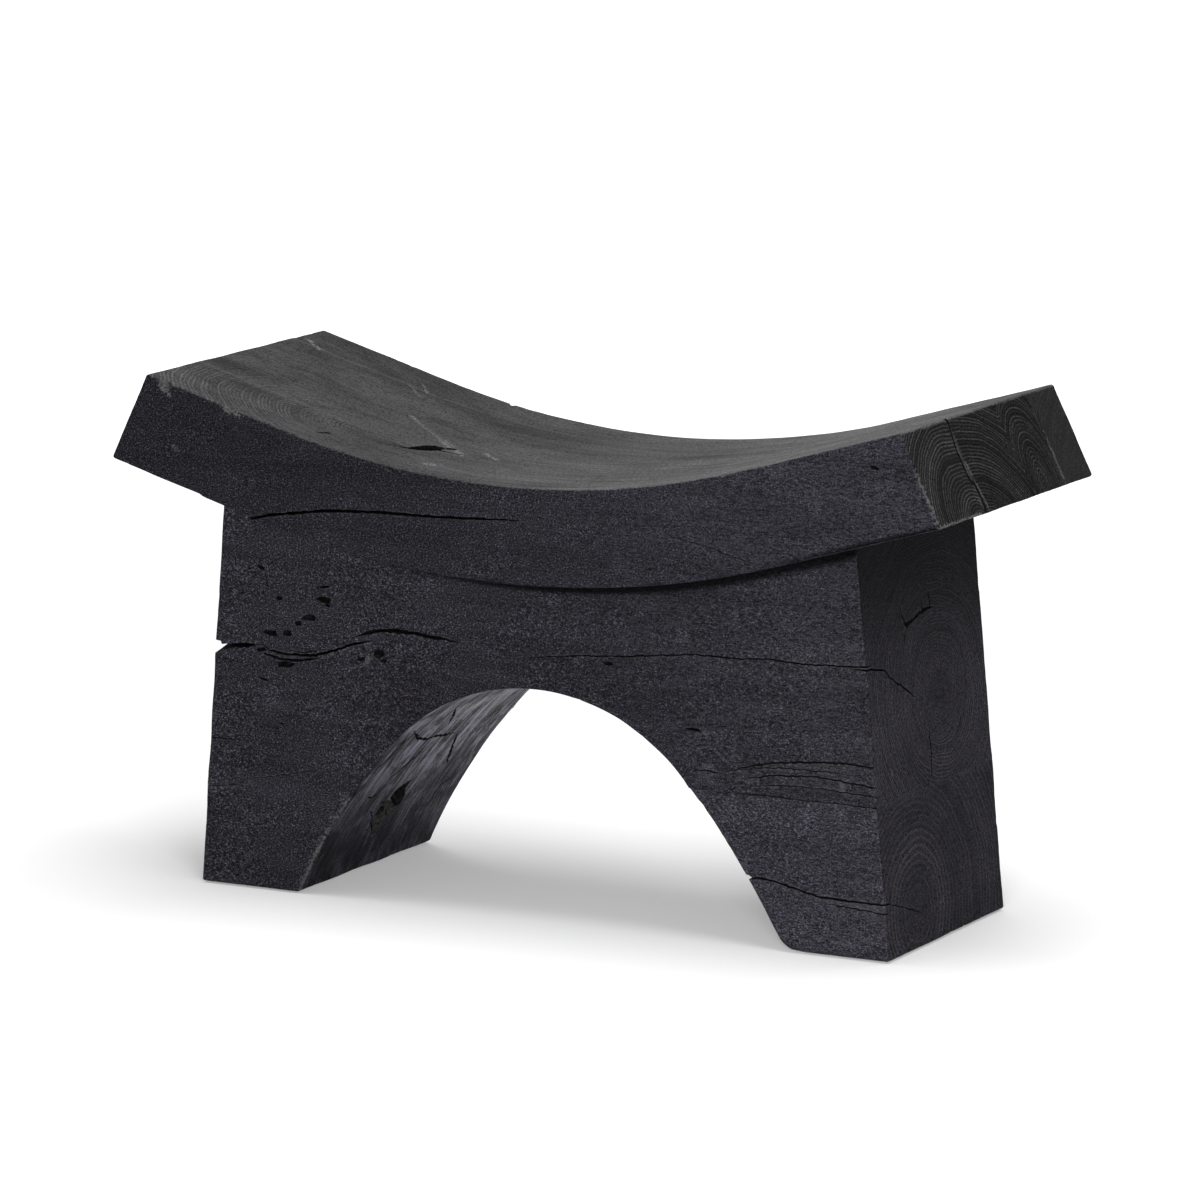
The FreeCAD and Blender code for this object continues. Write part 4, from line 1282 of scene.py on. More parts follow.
heart = vector(rings, "ADD", here["Heart"], scaled(rings, here["Drift"], split(rings, here["Place"])["X"]))
off = split(rings, vector(rings, "SUBTRACT", here["Place"], heart))
across = rings.nodes.new("ShaderNodeCombineXYZ")
feed(rings, times(rings, off["Y"], here["Squeeze"]), across.inputs["Y"])
feed(rings, off["Z"], across.inputs["Z"])
first = vector(rings, "LENGTH", across.outputs[0])
branch = vector(rings, "SUBTRACT", here["Place"], here["Second Heart"])
branch = vector(rings, "LENGTH", vector(rings, "MULTIPLY", branch, SECOND_SHAPE))
branch = compute(rings, "ADD", branch, here["Second Start"])
nearest = compute(rings, "SMOOTH_MIN", first, branch, HEARTS_MERGE)

knot_far = compute(rings, "DIVIDE", vector(rings, "DISTANCE", here["Place"], here["Knot"]), here["Knot Size"])
knot_mask = compute(rings, "EXPONENT", times(rings, compute(rings, "POWER", knot_far, 2.0), -1.0))
slow = minus(rings, noise(rings, here["Place"], 14.0, squeeze=ALONG_GRAIN), 0.5)
quick = minus(rings, noise(rings, here["Place"], 90.0, squeeze=ALONG_GRAIN), 0.5)
waver = times(rings, weighted(rings, slow, (quick, 0.16)), here["Wander"])
bulge = times(rings, knot_mask, here["Knot Size"])
distance = weighted(rings, nearest, (waver, WAVER), (bulge, KNOT_PUSH))
count = compute(rings, "DIVIDE", distance, here["Spacing"])
print("rings are counted by", len(rings.nodes), "nodes")

# %% Ring lines and tones
phase = compute(rings, "FRACT", count)
pulse = times(rings, ramp(rings, phase, 0.30, 0.62), ramp(rings, phase, 0.72, 0.96, 1.0, 0.0))
clear = ramp(rings, nearest, 0.004, 0.050, here["Heart Lines"], 1.0)
strength = ramp(rings, ring_noise(rings, count, 0.9), 0.34, 0.60, 0.15, 1.0)
pores = ramp(rings, noise(rings, here["Place"], 700.0), 0.36, 0.58, 0.2, 1.0)
feed(rings, times(rings, pulse, strength, clear, pores), out["Line"])
feed(rings, ramp(rings, ring_noise(rings, count, 0.19), 0.3, 0.7), out["Tone"])
feed(rings, ramp(rings, nearest, 0.004, 0.040, 1.0, 0.0), out["Core"])
feed(rings, knot_mask, out["Knot Mask"])
print("growth rings:", len(rings.nodes), "nodes")

# %% [markdown]
# ## Brushed face
# Wire brushing tears the soft wood out and leaves the hard wood standing, so the face is pebbled like
# coarse sandpaper, with streaks along the grain. A photograph of such a face could be laid over the wood,
# but it would repeat and stretch. The group mixes grains of two to three millimetres with long soft streaks
# instead.

# %% Brushed face group
brushed, here, out = open_group(
    "brushed face",
    {"Place": (PLACE, (0, 0, 0)), "Grain": (NUMBER, 0.002), "Streak": (PLACE, (0.05, 1, 1)),
     "Streak Width": (NUMBER, 0.007)},
    ("Grains", "Tips", "Streaks"))
grains = noise(brushed, here["Place"], compute(brushed, "DIVIDE", 1.0, here["Grain"]), 3.0, 0.72, 0.25,
               (0.75, 1.0, 1.0))
feed(brushed, ramp(brushed, grains, 0.38, 0.64), out["Grains"])
feed(brushed, ramp(brushed, grains, 0.56, 0.70), out["Tips"])
streaks = noise(brushed, here["Place"], compute(brushed, "DIVIDE", 1.0, here["Streak Width"]), 4.0, 0.62, 0.5,
                here["Streak"])
feed(brushed, ramp(brushed, streaks, 0.32, 0.68), out["Streaks"])
print("brushed face:", len(brushed.nodes), "nodes")

# %% [markdown]
# ## Facing
# The black stain sits differently on each face: use and dust have greyed the top, which a painted sheen
# also lightens, the long faces are blue-black and pebbled, and the end grain shows its rings. The group
# tells these faces apart by the surface's own direction, and finds the wall of the arch by its place,
# because that wall faces the same way as the ends. The arrises, where hands and feet have rubbed the stain
# off, are found by how sharply the mesh is folded. A painted shadow darkens the narrow step under the
# seat's front, and the seat's lowest edge under its right wing, where the seat's overhang shades them.

# %% Facing group
# Each pair is where a mask starts and where it is full. Those of a turn are parts of the surface's normal.
ARCH_SIDES = (0.262, 0.250)
ARCH_TOP = (0.25, 0.23)
WALL_TURN = (0.7, 0.3)
END_TURN = (0.72, 0.86)
TOP_TURN = (0.5, 0.85)
facing, here, out = open_group(
    "facing",
    {"Place": (PLACE, (0, 0, 0)), "Edge Start": (NUMBER, 0.515), "Edge End": (NUMBER, 0.60)},
    ("Top", "End", "Wall", "Arris", "Step Shadow"))
way = split(facing, facing.nodes.new("ShaderNodeTexCoord").outputs["Normal"])
spot = split(facing, here["Place"])
from_middle = size_of(facing, minus(facing, spot["X"], BASE_SHIFT))
in_arch = times(facing, ramp(facing, from_middle, *ARCH_SIDES), ramp(facing, spot["Z"], *ARCH_TOP))
wall = times(facing, in_arch, ramp(facing, size_of(facing, way["Y"]), *WALL_TURN))
end_face = times(facing, ramp(facing, size_of(facing, way["X"]), *END_TURN), minus(facing, 1.0, wall))
feed(facing, ramp(facing, way["Z"], *TOP_TURN), out["Top"])
feed(facing, end_face, out["End"])
feed(facing, wall, out["Wall"])
print("faces are told apart by", len(facing.nodes), "nodes")

# %% How far a point is from the seat's underside
from_centre = vector(facing, "SUBTRACT", here["Place"], (0, 0, CURVE_CENTRE_Z))
from_centre = vector(facing, "ABSOLUTE", vector(facing, "MULTIPLY", from_centre, (1, 0, 1)))
from_arc = vector(facing, "LENGTH", from_centre)
from_wing = vector(facing, "DOT_PRODUCT", from_centre, (math.sin(SEAT_RISE), 0, math.cos(SEAT_RISE)))
on_wing = compute(facing, "GREATER_THAN", size_of(facing, spot["X"]), UNDER_RADIUS * math.sin(SEAT_RISE))
on_arc = minus(facing, 1.0, on_wing)
from_curve = compute(facing, "ADD", times(facing, from_arc, on_arc), times(facing, from_wing, on_wing))
from_curve = minus(facing, from_curve, UNDER_RADIUS)
print("the seat's underside is found with", len(facing.nodes), "nodes")

# %% Rubbed arrises and the painted shadow under the step
# Bands and shadows are distances from a seam or from the seat's underside, and runs are places along X.
FOOT_SEAM_BAND = (0.002, 0.005)
SEAT_SEAM_BAND = (0.004, 0.007)
STEP_RUN = (-0.22, 0.34)
STEP_SHADOW = (0.002, 0.0120)
STEP_FADE = (-0.22, 0.05)
WING_RUN = (0.20, 0.33)
WING_SHADOW = (-0.0065, -0.001)
FRONT_TURN = (-0.5, -0.8)
geometry = facing.nodes.new("ShaderNodeNewGeometry")
patchy = ramp(facing, noise(facing, here["Place"], 110.0, 3.0, 0.6), 0.3, 0.6, 0.25, 1.0)
folded = ramp(facing, geometry.outputs["Pointiness"], here["Edge Start"], here["Edge End"])
foot_seam = ramp(facing, size_of(facing, minus(facing, spot["Z"], BEAM_LOW)), *FOOT_SEAM_BAND)
foot_seam = compute(facing, "MAXIMUM", foot_seam, times(facing, end_face, 0.3))
seat_seam = ramp(facing, size_of(facing, from_curve), *SEAT_SEAM_BAND)
feed(facing, times(facing, patchy, folded, foot_seam, seat_seam), out["Arris"])

# Painted shadow of the seat's overhang: the front just under the seat darkens in a band that widens to the
# right, and so does the seat's lowest edge under its right wing.
step_shadow_height = ramp(facing, spot["X"], *STEP_RUN, *STEP_SHADOW)
step = times(facing, ramp(facing, from_curve, step_shadow_height, times(facing, step_shadow_height, 0.35)),
             ramp(facing, from_curve, -0.001, 0.0), ramp(facing, spot["X"], *STEP_FADE))
wing_shadow = times(facing, ramp(facing, from_curve, *WING_SHADOW), ramp(facing, spot["X"], *WING_RUN),
                   ramp(facing, from_curve, 0.0010, 0.0002))
step = times(facing, compute(facing, "MAXIMUM", step, wing_shadow), ramp(facing, way["Y"], *FRONT_TURN))
feed(facing, step, out["Step Shadow"])
print("facing:", len(facing.nodes), "nodes")

# %% [markdown]
# ## Scuff
# A scratch in the stain shows the paler wood below. Each of the few on the seat and the base runs straight
# between two points, so the group measures how far a point of the surface is from that line and frays the
# edge with noise.

# %% Scuff group
scuff, here, out = open_group(
    "scuff",
    {"Place": (PLACE, (0, 0, 0)), "From": (PLACE, (0, 0, 0)), "To": (PLACE, (1, 0, 0)),
     "Width": (NUMBER, 0.003)},
    ("Mask",))
run = vector(scuff, "SUBTRACT", here["To"], here["From"])
reach = vector(scuff, "SUBTRACT", here["Place"], here["From"])
share = compute(scuff, "DIVIDE", vector(scuff, "DOT_PRODUCT", reach, run),
                vector(scuff, "DOT_PRODUCT", run, run), clamp=True)
far = vector(scuff, "DISTANCE", reach, scaled(scuff, run, share))
fray = minus(scuff, noise(scuff, here["Place"], 420.0, 3.0, 0.6), 0.5)
frayed = weighted(scuff, far, (times(scuff, fray, here["Width"]), 3.5))
feed(scuff, ramp(scuff, frayed, times(scuff, here["Width"], 0.6), 0.0), out["Mask"])
print("scuff:", len(scuff.nodes), "nodes")

# %% [markdown]
# ## Blackened timber
# Every timber has the same finish, but its own tree: another heart, drift and ring spacing. So the finish
# is built by functions, and each timber gets its own copy with its own numbers. For each kind of face one
# function says how light the wood is at a point, and a tint turns that into a colour. The colour is nearly
# black, and what the eye reads as texture is mostly light on the relief, so the bump matters as much as the
# colour. The wax is a coat whose weight follows the same lightness: it lies on the standing grain and not
# in the pits.

# %% Blackened timber
FRONT_TINT = (0.0285, 0.0271, 0.0352)
# The top's tint is greyed by dust, and it is lighter than the front by a painted sheen.
TOP_DUST_AND_SHEEN_TINT = (0.0485, 0.0484, 0.0496)
SEAT_END_TINT = (0.0895, 0.0882, 0.0887)
BASE_END_TINT = (0.0425, 0.0394, 0.0486)
WALL_TINT = (0.0300, 0.0282, 0.0470)
PALE_WOOD = (0.115, 0.113, 0.118)
BARE_WOOD = (0.185, 0.182, 0.184)
SKIN_SHINE = 0.02
WAX_ROUGHNESS = 0.55
FRONT_WAX = 0.10
TOP_WAX = 0.08
END_WAX = 0.03
WALL_WAX = 0.60
BUMP_STRENGTH = 0.8
BUMP_DEPTH = 0.0011
LIMB = dict(Heart=(0, -0.074, 0.4743), Drift=(0, 0.0, 0.38), Squeeze=0.9, Spacing=0.0025, Wander=0.0030)
SCUFFS = [
    ((-0.199, 0.016, 0.408), (-0.131, -0.034, 0.394), 0.0044, 0.75),
    ((-0.140, -0.028, 0.395), (-0.104, -0.058, 0.390), 0.0070, 0.7),
    ((-0.250, 0.099, 0.423), (-0.225, 0.077, 0.415), 0.0028, 0.6),
    ((-0.243, 0.112, 0.420), (-0.227, 0.093, 0.415), 0.0026, 0.6),
    ((-0.362, 0.107, 0.454), (-0.356, 0.104, 0.452), 0.0065, 0.9),
    ((-0.351, 0.099, 0.450), (-0.341, 0.094, 0.448), 0.0045, 0.8),
    ((-0.092, -0.036, 0.388), (-0.074, -0.049, 0.387), 0.0060, 0.7),
    ((-0.107, -0.116, 0.390), (-0.101, -0.114, 0.390), 0.0060, 0.9),
    ((-0.357, -0.151, 0.447), (-0.347, -0.151, 0.4385), 0.0040, 0.7),
    ((-0.292, -0.151, 0.4325), (-0.276, -0.151, 0.426), 0.0040, 0.7),
    ((-0.344, -0.151, 0.392), (-0.340, -0.151, 0.391), 0.0040, 0.6),
    ((0.388, -0.151, 0.426), (0.4125, -0.151, 0.375), 0.0042, 0.45),
    ((0.390, -0.0615, 0.420), (0.411, -0.056, 0.378), 0.0024, 0.5),
    ((0.388, 0.0955, 0.426), (0.411, 0.0955, 0.378), 0.0022, 0.5),
    ((0.4095, -0.149, 0.3795), (0.4095, -0.072, 0.3795), 0.0032, 0.65),
]
BASE_SCUFFS = [
    ((-0.2222, -0.150, 0.002), (-0.2025, -0.150, 0.040), 0.0080, 0.38),
    ((-0.2025, -0.150, 0.040), (-0.1700, -0.150, 0.090), 0.0068, 0.34),
    ((-0.112, -0.066, 0.165), (-0.104, 0.018, 0.161), 0.0200, 0.5),
]
print("scuffs on the seat and the base:", len(SCUFFS), len(BASE_SCUFFS))

# %% Patterns of one timber
# Each pair is where a change along the stool, into it or up it starts and ends, in metres.
COMBED_RUN = (-0.10, 0.28)
FRONT_RUN = (-0.34, 0.05)
BOW_RUN = (-0.15, -0.27)
BOW_DEPTH = (-0.005, -0.075)
TIP_RUN = (0.05, 0.30)
PAINTED_SHEEN_RUN = (-0.27, 0.15)
END_SHADE = (0.34, 0.20)
PAINTED_LIGHT_RISE = (0.06, 0.15)
WALL_DEPTH = (-0.15, -0.03)
FLOOR_SHADE = (0.01, 0.13)


def timber_patterns(tree, tree_of):
    """The patterns that all the faces of a timber share, by name. tree_of sets the inputs of its rings."""
    place = tree.nodes.new("ShaderNodeTexCoord").outputs["Object"]
    cloud = ramp(tree, noise(tree, place, 16.0, 3.0, 0.6, squeeze=(0.45, 1, 1)), 0.3, 0.7)
    return {
        "place": place,
        "axes": split(tree, place),
        "ring": use_group(tree, rings, Place=place, **tree_of),
        "face": use_group(tree, brushed, Place=place, Grain=0.0012, Streak=(0.05, 1, 1), Streak_Width=0.0075),
        "drawn": use_group(tree, brushed, Place=place, Grain=0.0016, Streak=(0.16, 1, 0.16),
                           Streak_Width=0.0060),
        "side": use_group(tree, facing, Place=place),
        "cloud": cloud,
    }


def front_light(tree, of, front, front_left):
    """How light the long faces are: pebbled at the left, combed to the right, dark in the step's painted
    shadow.
    """
    place, x, face, ring = of["place"], of["axes"]["X"], of["face"], of["ring"]
    fuzz = ramp(tree, noise(tree, place, 26.0, 3.0, 0.65), 0.56, 0.7)
    combed = ramp(tree, noise(tree, place, 640.0, 3.0, 0.65, squeeze=(0.33, 1, 1)), 0.42, 0.62)
    pebbles = weighted(tree, 0.0, (face["Grains"], 1.15), (face["Tips"], 2.4))
    pebbles = mixed(tree, ramp(tree, x, *COMBED_RUN, 0.05, 0.55), pebbles,
                    weighted(tree, 0.0, (pebbles, 0.5), (combed, 1.3)))
    knotted = times(tree, ring["Line"], ring["Knot Mask"])
    light = weighted(tree, 0.12, (pebbles, 1.0), (ring["Line"], 0.16), (knotted, 1.2))
    tones = weighted(tree, 0.70, (ring["Tone"], 0.16), (of["cloud"], 0.20), (fuzz, 0.26),
                     (face["Streaks"], 0.13))
    # Painted shadow under the seat's step darkens the front.
    step_shadow_factor = compute(tree, "MULTIPLY_ADD", of["side"]["Step Shadow"], -0.88, 1.0)
    return times(tree, light, ramp(tree, x, *FRONT_RUN, front_left * front, front), tones, step_shadow_factor)


def top_light(tree, of, arcs):
    """How light the seat's top is: smudged, with the bows of a limb's rings at the left end, and a painted
    sheen to the right.
    """
    place, x, face = of["place"], of["axes"]["X"], of["face"]
    limb = use_group(tree, rings, Place=place, **LIMB)
    bows = times(tree, limb["Line"], ramp(tree, x, *BOW_RUN),
                 ramp(tree, of["axes"]["Y"], *BOW_DEPTH, 0.12, 1.0))
    smudge = ramp(tree, noise(tree, place, 30.0, squeeze=(0.16, 1, 1)), 0.52, 0.68)
    pits = ramp(tree, noise(tree, place, 430.0, 3.0, 0.7), 0.34, 0.62)
    tips = times(tree, face["Tips"], ramp(tree, x, *TIP_RUN, 0.6, 1.3))
    light = weighted(tree, 0.14, (face["Streaks"], 0.30), (pits, 0.72), (tips, 1.0), (bows, arcs))
    clouds = weighted(tree, 0.76, (of["cloud"], 0.44), (smudge, -0.26))
    # Painted sheen: the top grows lighter towards the right wing, which is seen at a grazing angle.
    return times(tree, light, clouds, ramp(tree, x, *PAINTED_SHEEN_RUN, 0.98, 1.85))


def end_light(tree, of, end, lines, tones):
    """How light the end grain is: pale ring lines on it, and dark where the seat shades it."""
    ring, face, drawn = of["ring"], of["face"], of["drawn"]
    light = weighted(tree, end, (drawn["Grains"], 0.8), (ring["Line"], lines), (face["Tips"], 1.2))
    bands = weighted(tree, 0.80 - tones / 2, (ring["Tone"], tones), (of["cloud"], 0.3),
                     (ring["Core"], -tones / 2))
    return times(tree, light, bands, ramp(tree, of["axes"]["Z"], *END_SHADE, 0.22, 1.0))


def wall_light(tree, of):
    """How light the arch's wall is: torn along the grain, gashes high up, painted light up high and painted
    shade at the floor.
    """
    place, axes, drawn = of["place"], of["axes"], of["drawn"]
    patch = ramp(tree, noise(tree, place, 34.0, 3.0, 0.6, 0.8, (0.8, 1, 0.8)), 0.42, 0.62)
    # Painted light and shade: the torn streaks grow lighter up the wall and stay dark low down.
    rise = ramp(tree, axes["Z"], *PAINTED_LIGHT_RISE)
    torn = times(tree, compute(tree, "POWER", drawn["Streaks"], 1.6), mixed(tree, rise, 0.35, 2.0))
    light = weighted(tree, 0.05, (torn, 1.3), (drawn["Grains"], 0.5), (of["ring"]["Line"], 0.7))
    clouds = weighted(tree, 0.36, (of["cloud"], 0.35), (patch, 1.2))
    deep_in = ramp(tree, axes["Y"], *WALL_DEPTH, 0.75, 1.12)
    above_floor = ramp(tree, axes["Z"], *FLOOR_SHADE, 0.42, 1.0)
    gash = noise(tree, place, 75.0, 4.0, 0.7, 1.0, (0.45, 1, 0.45))
    gashes = mixed(tree, rise, 1.0, ramp(tree, gash, 0.37, 0.50, 0.36, 1.12))
    return times(tree, light, clouds, deep_in, above_floor, gashes)


print("four kinds of face: front, top, end and wall")

# %% Finish of one timber


def by_side(tree, side, blender, front, top, end, wall):
    """Picks what belongs to each kind of face. blender is mixed for numbers and blend for colours."""
    picked = blender(tree, side["Top"], front, top)
    picked = blender(tree, side["End"], picked, end)
    return blender(tree, side["Wall"], picked, wall)


def blackened_timber(material, end_tint, tree_of, scuffs, lines=0.8, tones=0.3, arcs=0.0, end=0.0, front=1.0,
                     front_left=1.0):
    """The stool's finish for one timber. tree_of sets the inputs of its growth rings.

    lines and tones say how much the rings show on the end faces, and arcs how much on the top. end lifts
    the end faces, and front and front_left say how light the front is in all and at its left."""
    material.use_nodes = True
    tree = material.node_tree
    shader = tree.nodes["Principled BSDF"]
    of = timber_patterns(tree, tree_of)
    face, drawn, side = of["face"], of["drawn"], of["side"]
    lightness = by_side(
        tree, side, mixed, front_light(tree, of, front, front_left), top_light(tree, of, arcs),
        end_light(tree, of, end, lines, tones), wall_light(tree, of))
    tint = by_side(tree, side, blend, FRONT_TINT, TOP_DUST_AND_SHEEN_TINT, end_tint, WALL_TINT)
    colour = blend(tree, times(tree, side["Arris"], 0.5), scaled(tree, tint, lightness), PALE_WOOD)
    for start, stop, width, strength in scuffs:
        mark = use_group(tree, scuff, Place=of["place"], From=start, To=stop, Width=width)["Mask"]
        colour = blend(tree, times(tree, mark, strength), colour, BARE_WOOD)
    feed(tree, colour, shader.inputs["Base Color"])
    feed(tree, weighted(tree, 0.62, (face["Tips"], -0.14), (side["Top"], -0.04), (side["Wall"], -0.1)),
         shader.inputs["Roughness"])
    shader.inputs["Specular IOR Level"].default_value = SKIN_SHINE
    shader.inputs["Coat Roughness"].default_value = WAX_ROUGHNESS
    wax = by_side(tree, side, mixed, FRONT_WAX, TOP_WAX, END_WAX, WALL_WAX)
    feed(tree, compute(tree, "MULTIPLY", lightness, wax, clamp=True), shader.inputs["Coat Weight"])

    brushing = weighted(tree, 0.0, (face["Grains"], 0.3), (of["ring"]["Line"], 0.5), (face["Streaks"], 0.3))
    relief = mixed(tree, compute(tree, "MAXIMUM", side["Top"], side["End"]), face["Grains"], brushing)
    tearing = weighted(tree, 0.0, (drawn["Streaks"], 1.6), (drawn["Grains"], 0.5))
    bump = tree.nodes.new("ShaderNodeBump")
    bump.inputs["Strength"].default_value = BUMP_STRENGTH
    bump.inputs["Distance"].default_value = BUMP_DEPTH
    feed(tree, mixed(tree, side["Wall"], relief, tearing), bump.inputs["Height"])
    feed(tree, bump.outputs["Normal"], shader.inputs["Normal"])


# %% Trees of the six timbers
SEAT_DRIFT = (0, 0.030, -0.0530)
TREES = {
    "seat_front_stave": dict(Heart=(0, -0.089, 0.3915), Drift=SEAT_DRIFT, Squeeze=0.9, Spacing=0.0029,
                             Wander=0.0028),
    "seat_middle_stave": dict(Heart=(0, -0.070, 0.3770), Drift=SEAT_DRIFT, Squeeze=0.85, Spacing=0.0027,
                              Wander=0.0028, Second_Heart=(0.4, 0.058, 0.387), Second_Start=0.055),
    "seat_back_stave": dict(Heart=(0, 0.205, 0.300), Drift=(0, 0.01, 0.02), Squeeze=1.0, Spacing=0.0036),
    "base_beam": dict(Heart=(0, -0.016, 0.205), Drift=(0, 0.012, 0.02), Squeeze=1.0, Spacing=0.0028,
                      Heart_Lines=0.0, Knot=(0.187, -0.150, 0.166), Knot_Size=0.024),
    "left_foot_block": dict(Heart=(0, 0.25, 0.055), Drift=(0, 0.03, 0.02), Squeeze=1.0, Spacing=0.0055),
    "right_foot_block": dict(Heart=(0, -0.110, 0.030), Drift=(0, 0.072, 0.012), Squeeze=1.05, Spacing=0.0062,
                             Heart_Lines=0.3, Wander=0.0042),
}
WEIGHTS = {
    "seat_front_stave": dict(lines=3.6, tones=0.7, arcs=1.2, front=1.03, front_left=0.88),
    "seat_middle_stave": dict(lines=2.8, tones=0.7, arcs=1.2, end=-0.2),
    "seat_back_stave": dict(lines=0.6, tones=0.2, end=0.55),
    "base_beam": dict(lines=1.0, tones=0.2, front=0.93, front_left=1.33),
    "left_foot_block": dict(front_left=1.12),
    "right_foot_block": dict(lines=0.6, front=1.36),
}
for node, tree_of in TREES.items():
    end_tint, scuffs = (SEAT_END_TINT, SCUFFS) if node.startswith("seat") else (BASE_END_TINT, BASE_SCUFFS)
    blackened_timber(blackened[node], end_tint, tree_of, scuffs, **WEIGHTS[node])
print("timber materials:", len(TREES))

# %% [markdown]
# ## Fixings
# The fixings are small and mostly hidden, but each keeps a finish of its own for whoever takes the stool
# apart: turned beech for the dowels, stained end grain for the plugs, zinc for the bolts and washers, and
# pale nylon for the glides. The insides of the hollows get their finish here too. They all share one
# function, with the streaks stretched the way that the piece was turned, drawn or torn.

# %% Finishes of the fixings


def streaked(material, dark, light, stretch, scale, metal, rough, bump_depth, shine=0.5):
    """A streaked finish: the noise is stretched along the way that the piece was turned, drawn or moulded."""
    material.use_nodes = True
    tree = material.node_tree
    shader = tree.nodes["Principled BSDF"]
    place = tree.nodes.new("ShaderNodeTexCoord").outputs["Object"]
    streak = noise(tree, place, scale, 4.0, 0.6, squeeze=stretch)
    feed(tree, blend(tree, ramp(tree, streak, 0.35, 0.65), dark, light), shader.inputs["Base Color"])
    shader.inputs["Metallic"].default_value = metal
    feed(tree, ramp(tree, streak, 0.2, 0.8, rough + 0.08, rough - 0.08), shader.inputs["Roughness"])
    bump = tree.nodes.new("ShaderNodeBump")
    bump.inputs["Strength"].default_value = 0.5
    bump.inputs["Distance"].default_value = bump_depth
    tree.links.new(streak, bump.inputs["Height"])
    tree.links.new(bump.outputs["Normal"], shader.inputs["Normal"])
    shader.inputs["Specular IOR Level"].default_value = shine


beech_across, beech_upright, stained_plug, zinc, nylon = (bpy.data.materials.new(name) for name in (
    "beech dowel across", "beech dowel upright", "stained plug", "zinc plate", "pale nylon"))
streaked(beech_across, (0.36, 0.21, 0.11), (0.52, 0.34, 0.19), (1, 0.06, 1), 900, 0.0, 0.6, 0.0002)
streaked(beech_upright, (0.36, 0.21, 0.11), (0.52, 0.34, 0.19), (1, 1, 0.06), 900, 0.0, 0.6, 0.0002)
streaked(stained_plug, (0.012, 0.012, 0.014), (0.034, 0.033, 0.037), (1, 1, 0.1), 700, 0.0, 0.65, 0.0003)
streaked(zinc, (0.42, 0.42, 0.43), (0.58, 0.58, 0.59), (1, 1, 4), 500, 1.0, 0.38, 0.00005)
streaked(nylon, (0.50, 0.49, 0.455), (0.60, 0.59, 0.55), (1, 1, 1), 260, 0.0, 0.5, 0.00005)
# Painted shade: the insides of hollows are far darker than the stained faces, on wood taken as black.
streaked(black_shaded_hollow, (0.0015, 0.0014, 0.0016), (0.010, 0.0095, 0.0105), (0.3, 1, 0.6), 500, 0.0, 0.8, 0.0008,
         0.06)
streaked(scuffed, (0.018, 0.0175, 0.019), (0.075, 0.073, 0.073), (0.7, 1, 1), 520, 0.0, 0.7, 0.0006, 0.2)
streaked(crumbled, (0.001, 0.001, 0.001), (0.040, 0.040, 0.038), (1, 1, 1), 430, 0.0, 0.8, 0.0015, 0.08)
streaked(bored, (0.040, 0.030, 0.022), (0.075, 0.055, 0.040), (1, 1, 0.2), 600, 0.0, 0.75, 0.0003, 0.2)
FINISHES = {
    "front_seam_dowels": beech_across, "back_seam_dowels": beech_across, "seat_dowels": beech_upright,
    "left_foot_dowels": beech_upright, "right_foot_dowels": beech_upright, "bolt_plugs": stained_plug,
    "seat_bolts": zinc, "bolt_washers": zinc, "glide_screws": zinc, "left_front_glide": nylon,
    "left_back_glide": nylon, "right_front_glide": nylon, "right_back_glide": nylon,
}
for node, finish in FINISHES.items():
    piece = frame["nodes"][node]
    if not piece.material_slots:
        piece.data.materials.append(finish)
    for holder in piece.material_slots:
        holder.material = finish
print("fixings with a finish:", len(FINISHES))

# %% [markdown]
# ## Floor and light
# The stool stands on a white studio floor that runs out of the picture. The floor keeps a soft shadow. Its
# white comes from its own pale colour and from a little glow, which only the camera, reflections and glass
# see, so it doesn't light the stool. The glow grows where the lamps no longer reach. The light is one broad
# soft box overhead, a weaker one from the front right, and an even sky.

# %% Floor
FLOOR_SIZE = 60.0
FLOOR_CELLS = 12
FLOOR_COLOUR = (0.80, 0.80, 0.80, 1.0)
FLOOR_GLOW = 0.225
GLOW_START = 0.9
GLOW_END = 3.5


def seen_rays(tree):
    """1 for the rays that see a background: from the camera, off a glossy surface or through glass."""
    path = tree.nodes.new("ShaderNodeLightPath").outputs
    reflected = compute(tree, "MAXIMUM", path["Is Glossy Ray"], path["Is Transmission Ray"])
    return compute(tree, "MAXIMUM", path["Is Camera Ray"], reflected)


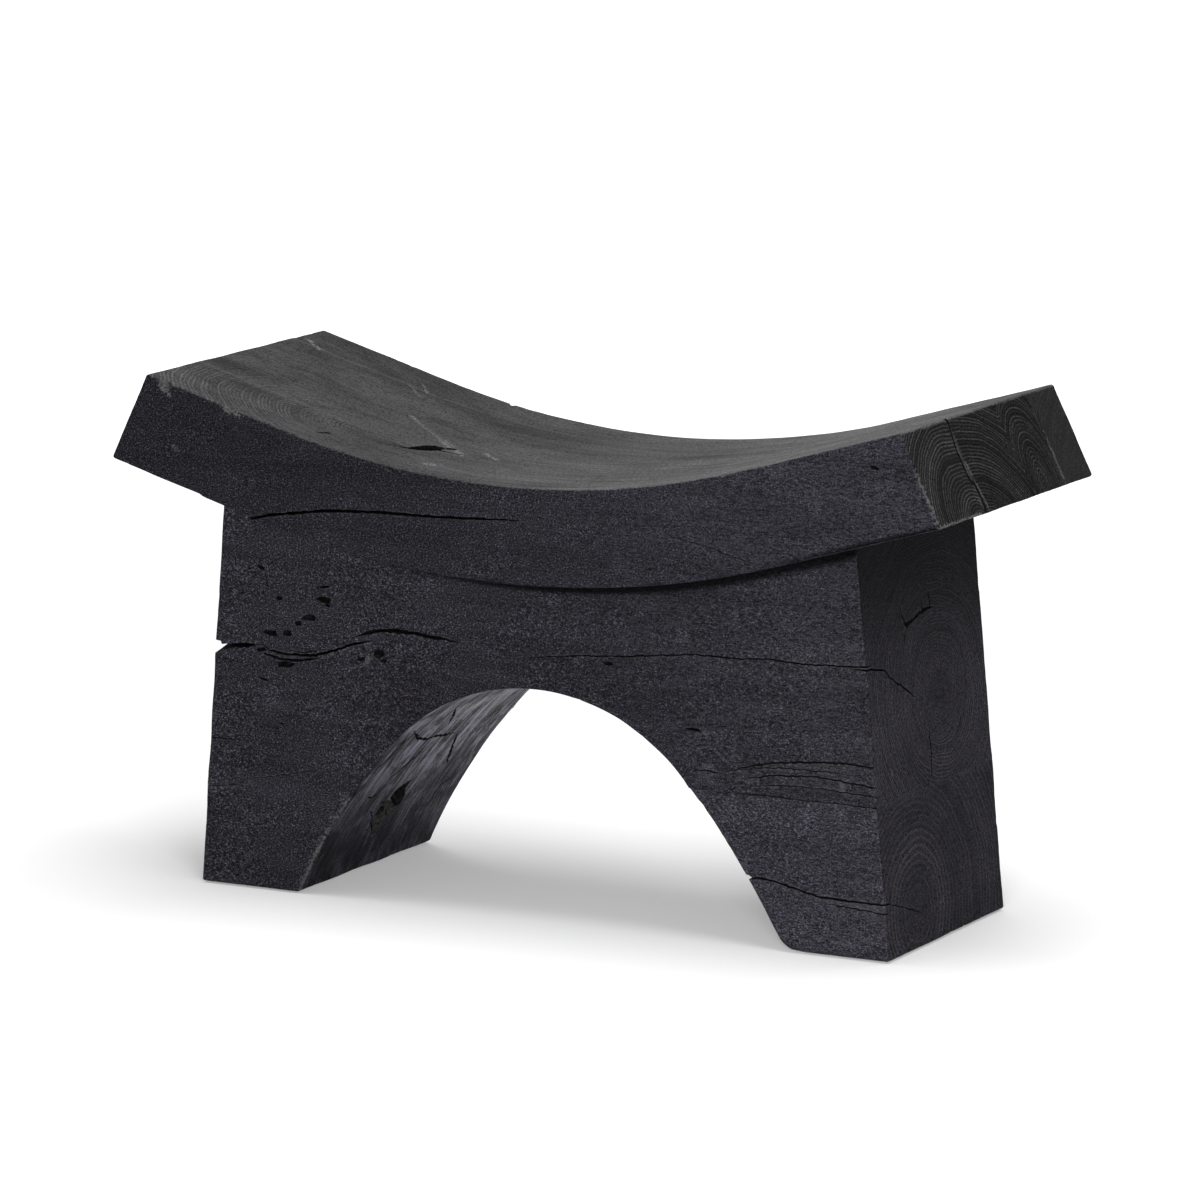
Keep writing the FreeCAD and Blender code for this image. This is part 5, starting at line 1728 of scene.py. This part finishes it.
floor_mesh = bpy.data.meshes.new("floor")
build = bmesh.new()
bmesh.ops.create_grid(build, x_segments=FLOOR_CELLS, y_segments=FLOOR_CELLS, size=FLOOR_SIZE / 2)
build.to_mesh(floor_mesh)
build.free()
floor = put("floor", floor_mesh)
paper = bpy.data.materials.new("studio floor")
paper.use_nodes = True
tree = paper.node_tree
tree.nodes.remove(tree.nodes["Principled BSDF"])
matt = tree.nodes.new("ShaderNodeBsdfDiffuse")
matt.inputs["Color"].default_value = FLOOR_COLOUR
glow = tree.nodes.new("ShaderNodeEmission")
away = vector(tree, "LENGTH", tree.nodes.new("ShaderNodeTexCoord").outputs["Object"])
glow_strength = ramp(tree, away, GLOW_START, GLOW_END, FLOOR_GLOW, 1.0)
feed(tree, compute(tree, "MULTIPLY", seen_rays(tree), glow_strength), glow.inputs["Strength"])
both = tree.nodes.new("ShaderNodeAddShader")
tree.links.new(matt.outputs[0], both.inputs[0])
tree.links.new(glow.outputs[0], both.inputs[1])
tree.links.new(both.outputs[0], tree.nodes["Material Output"].inputs["Surface"])
floor_mesh.materials.append(paper)
print("floor: %.0f m wide" % FLOOR_SIZE)

# %% Light
SKY_STRENGTH = 0.31
KEY_POWER = 82.0
KEY_SIZE = 2.3
KEY_PLACE = Vector((0.05, 0.31, 2.9))
FILL_POWER = 25.0
FILL_SIZE = 0.5
FILL_PLACE = Vector((0.95, -1.55, 0.42))
AIM = Vector((0, 0, 0.25))


def soft_box(name, place, size, power):
    """A square area lamp that points at the stool."""
    lamp = bpy.data.lights.new(name, "AREA")
    lamp.shape = "SQUARE"
    lamp.size = size
    lamp.energy = power
    holder = put(name, lamp)
    holder.location = place
    holder.rotation_euler = (AIM - place).to_track_quat("-Z", "Y").to_euler()


soft_box("key", KEY_PLACE, KEY_SIZE, KEY_POWER)
soft_box("fill", FILL_PLACE, FILL_SIZE, FILL_POWER)
world = bpy.data.worlds.new("studio")
world.use_nodes = True
bpy.context.scene.world = world
tree = world.node_tree
strength = compute(tree, "MAXIMUM", seen_rays(tree), SKY_STRENGTH)
tree.links.new(strength, tree.nodes["Background"].inputs["Strength"])
tree.nodes["Background"].inputs["Color"].default_value = (1.0, 1.0, 1.0, 1.0)
bpy.context.scene.view_settings.view_transform = "Standard"
print("light: sky %.2f, key %.0f W, fill %.0f W" % (SKY_STRENGTH, KEY_POWER, FILL_POWER))
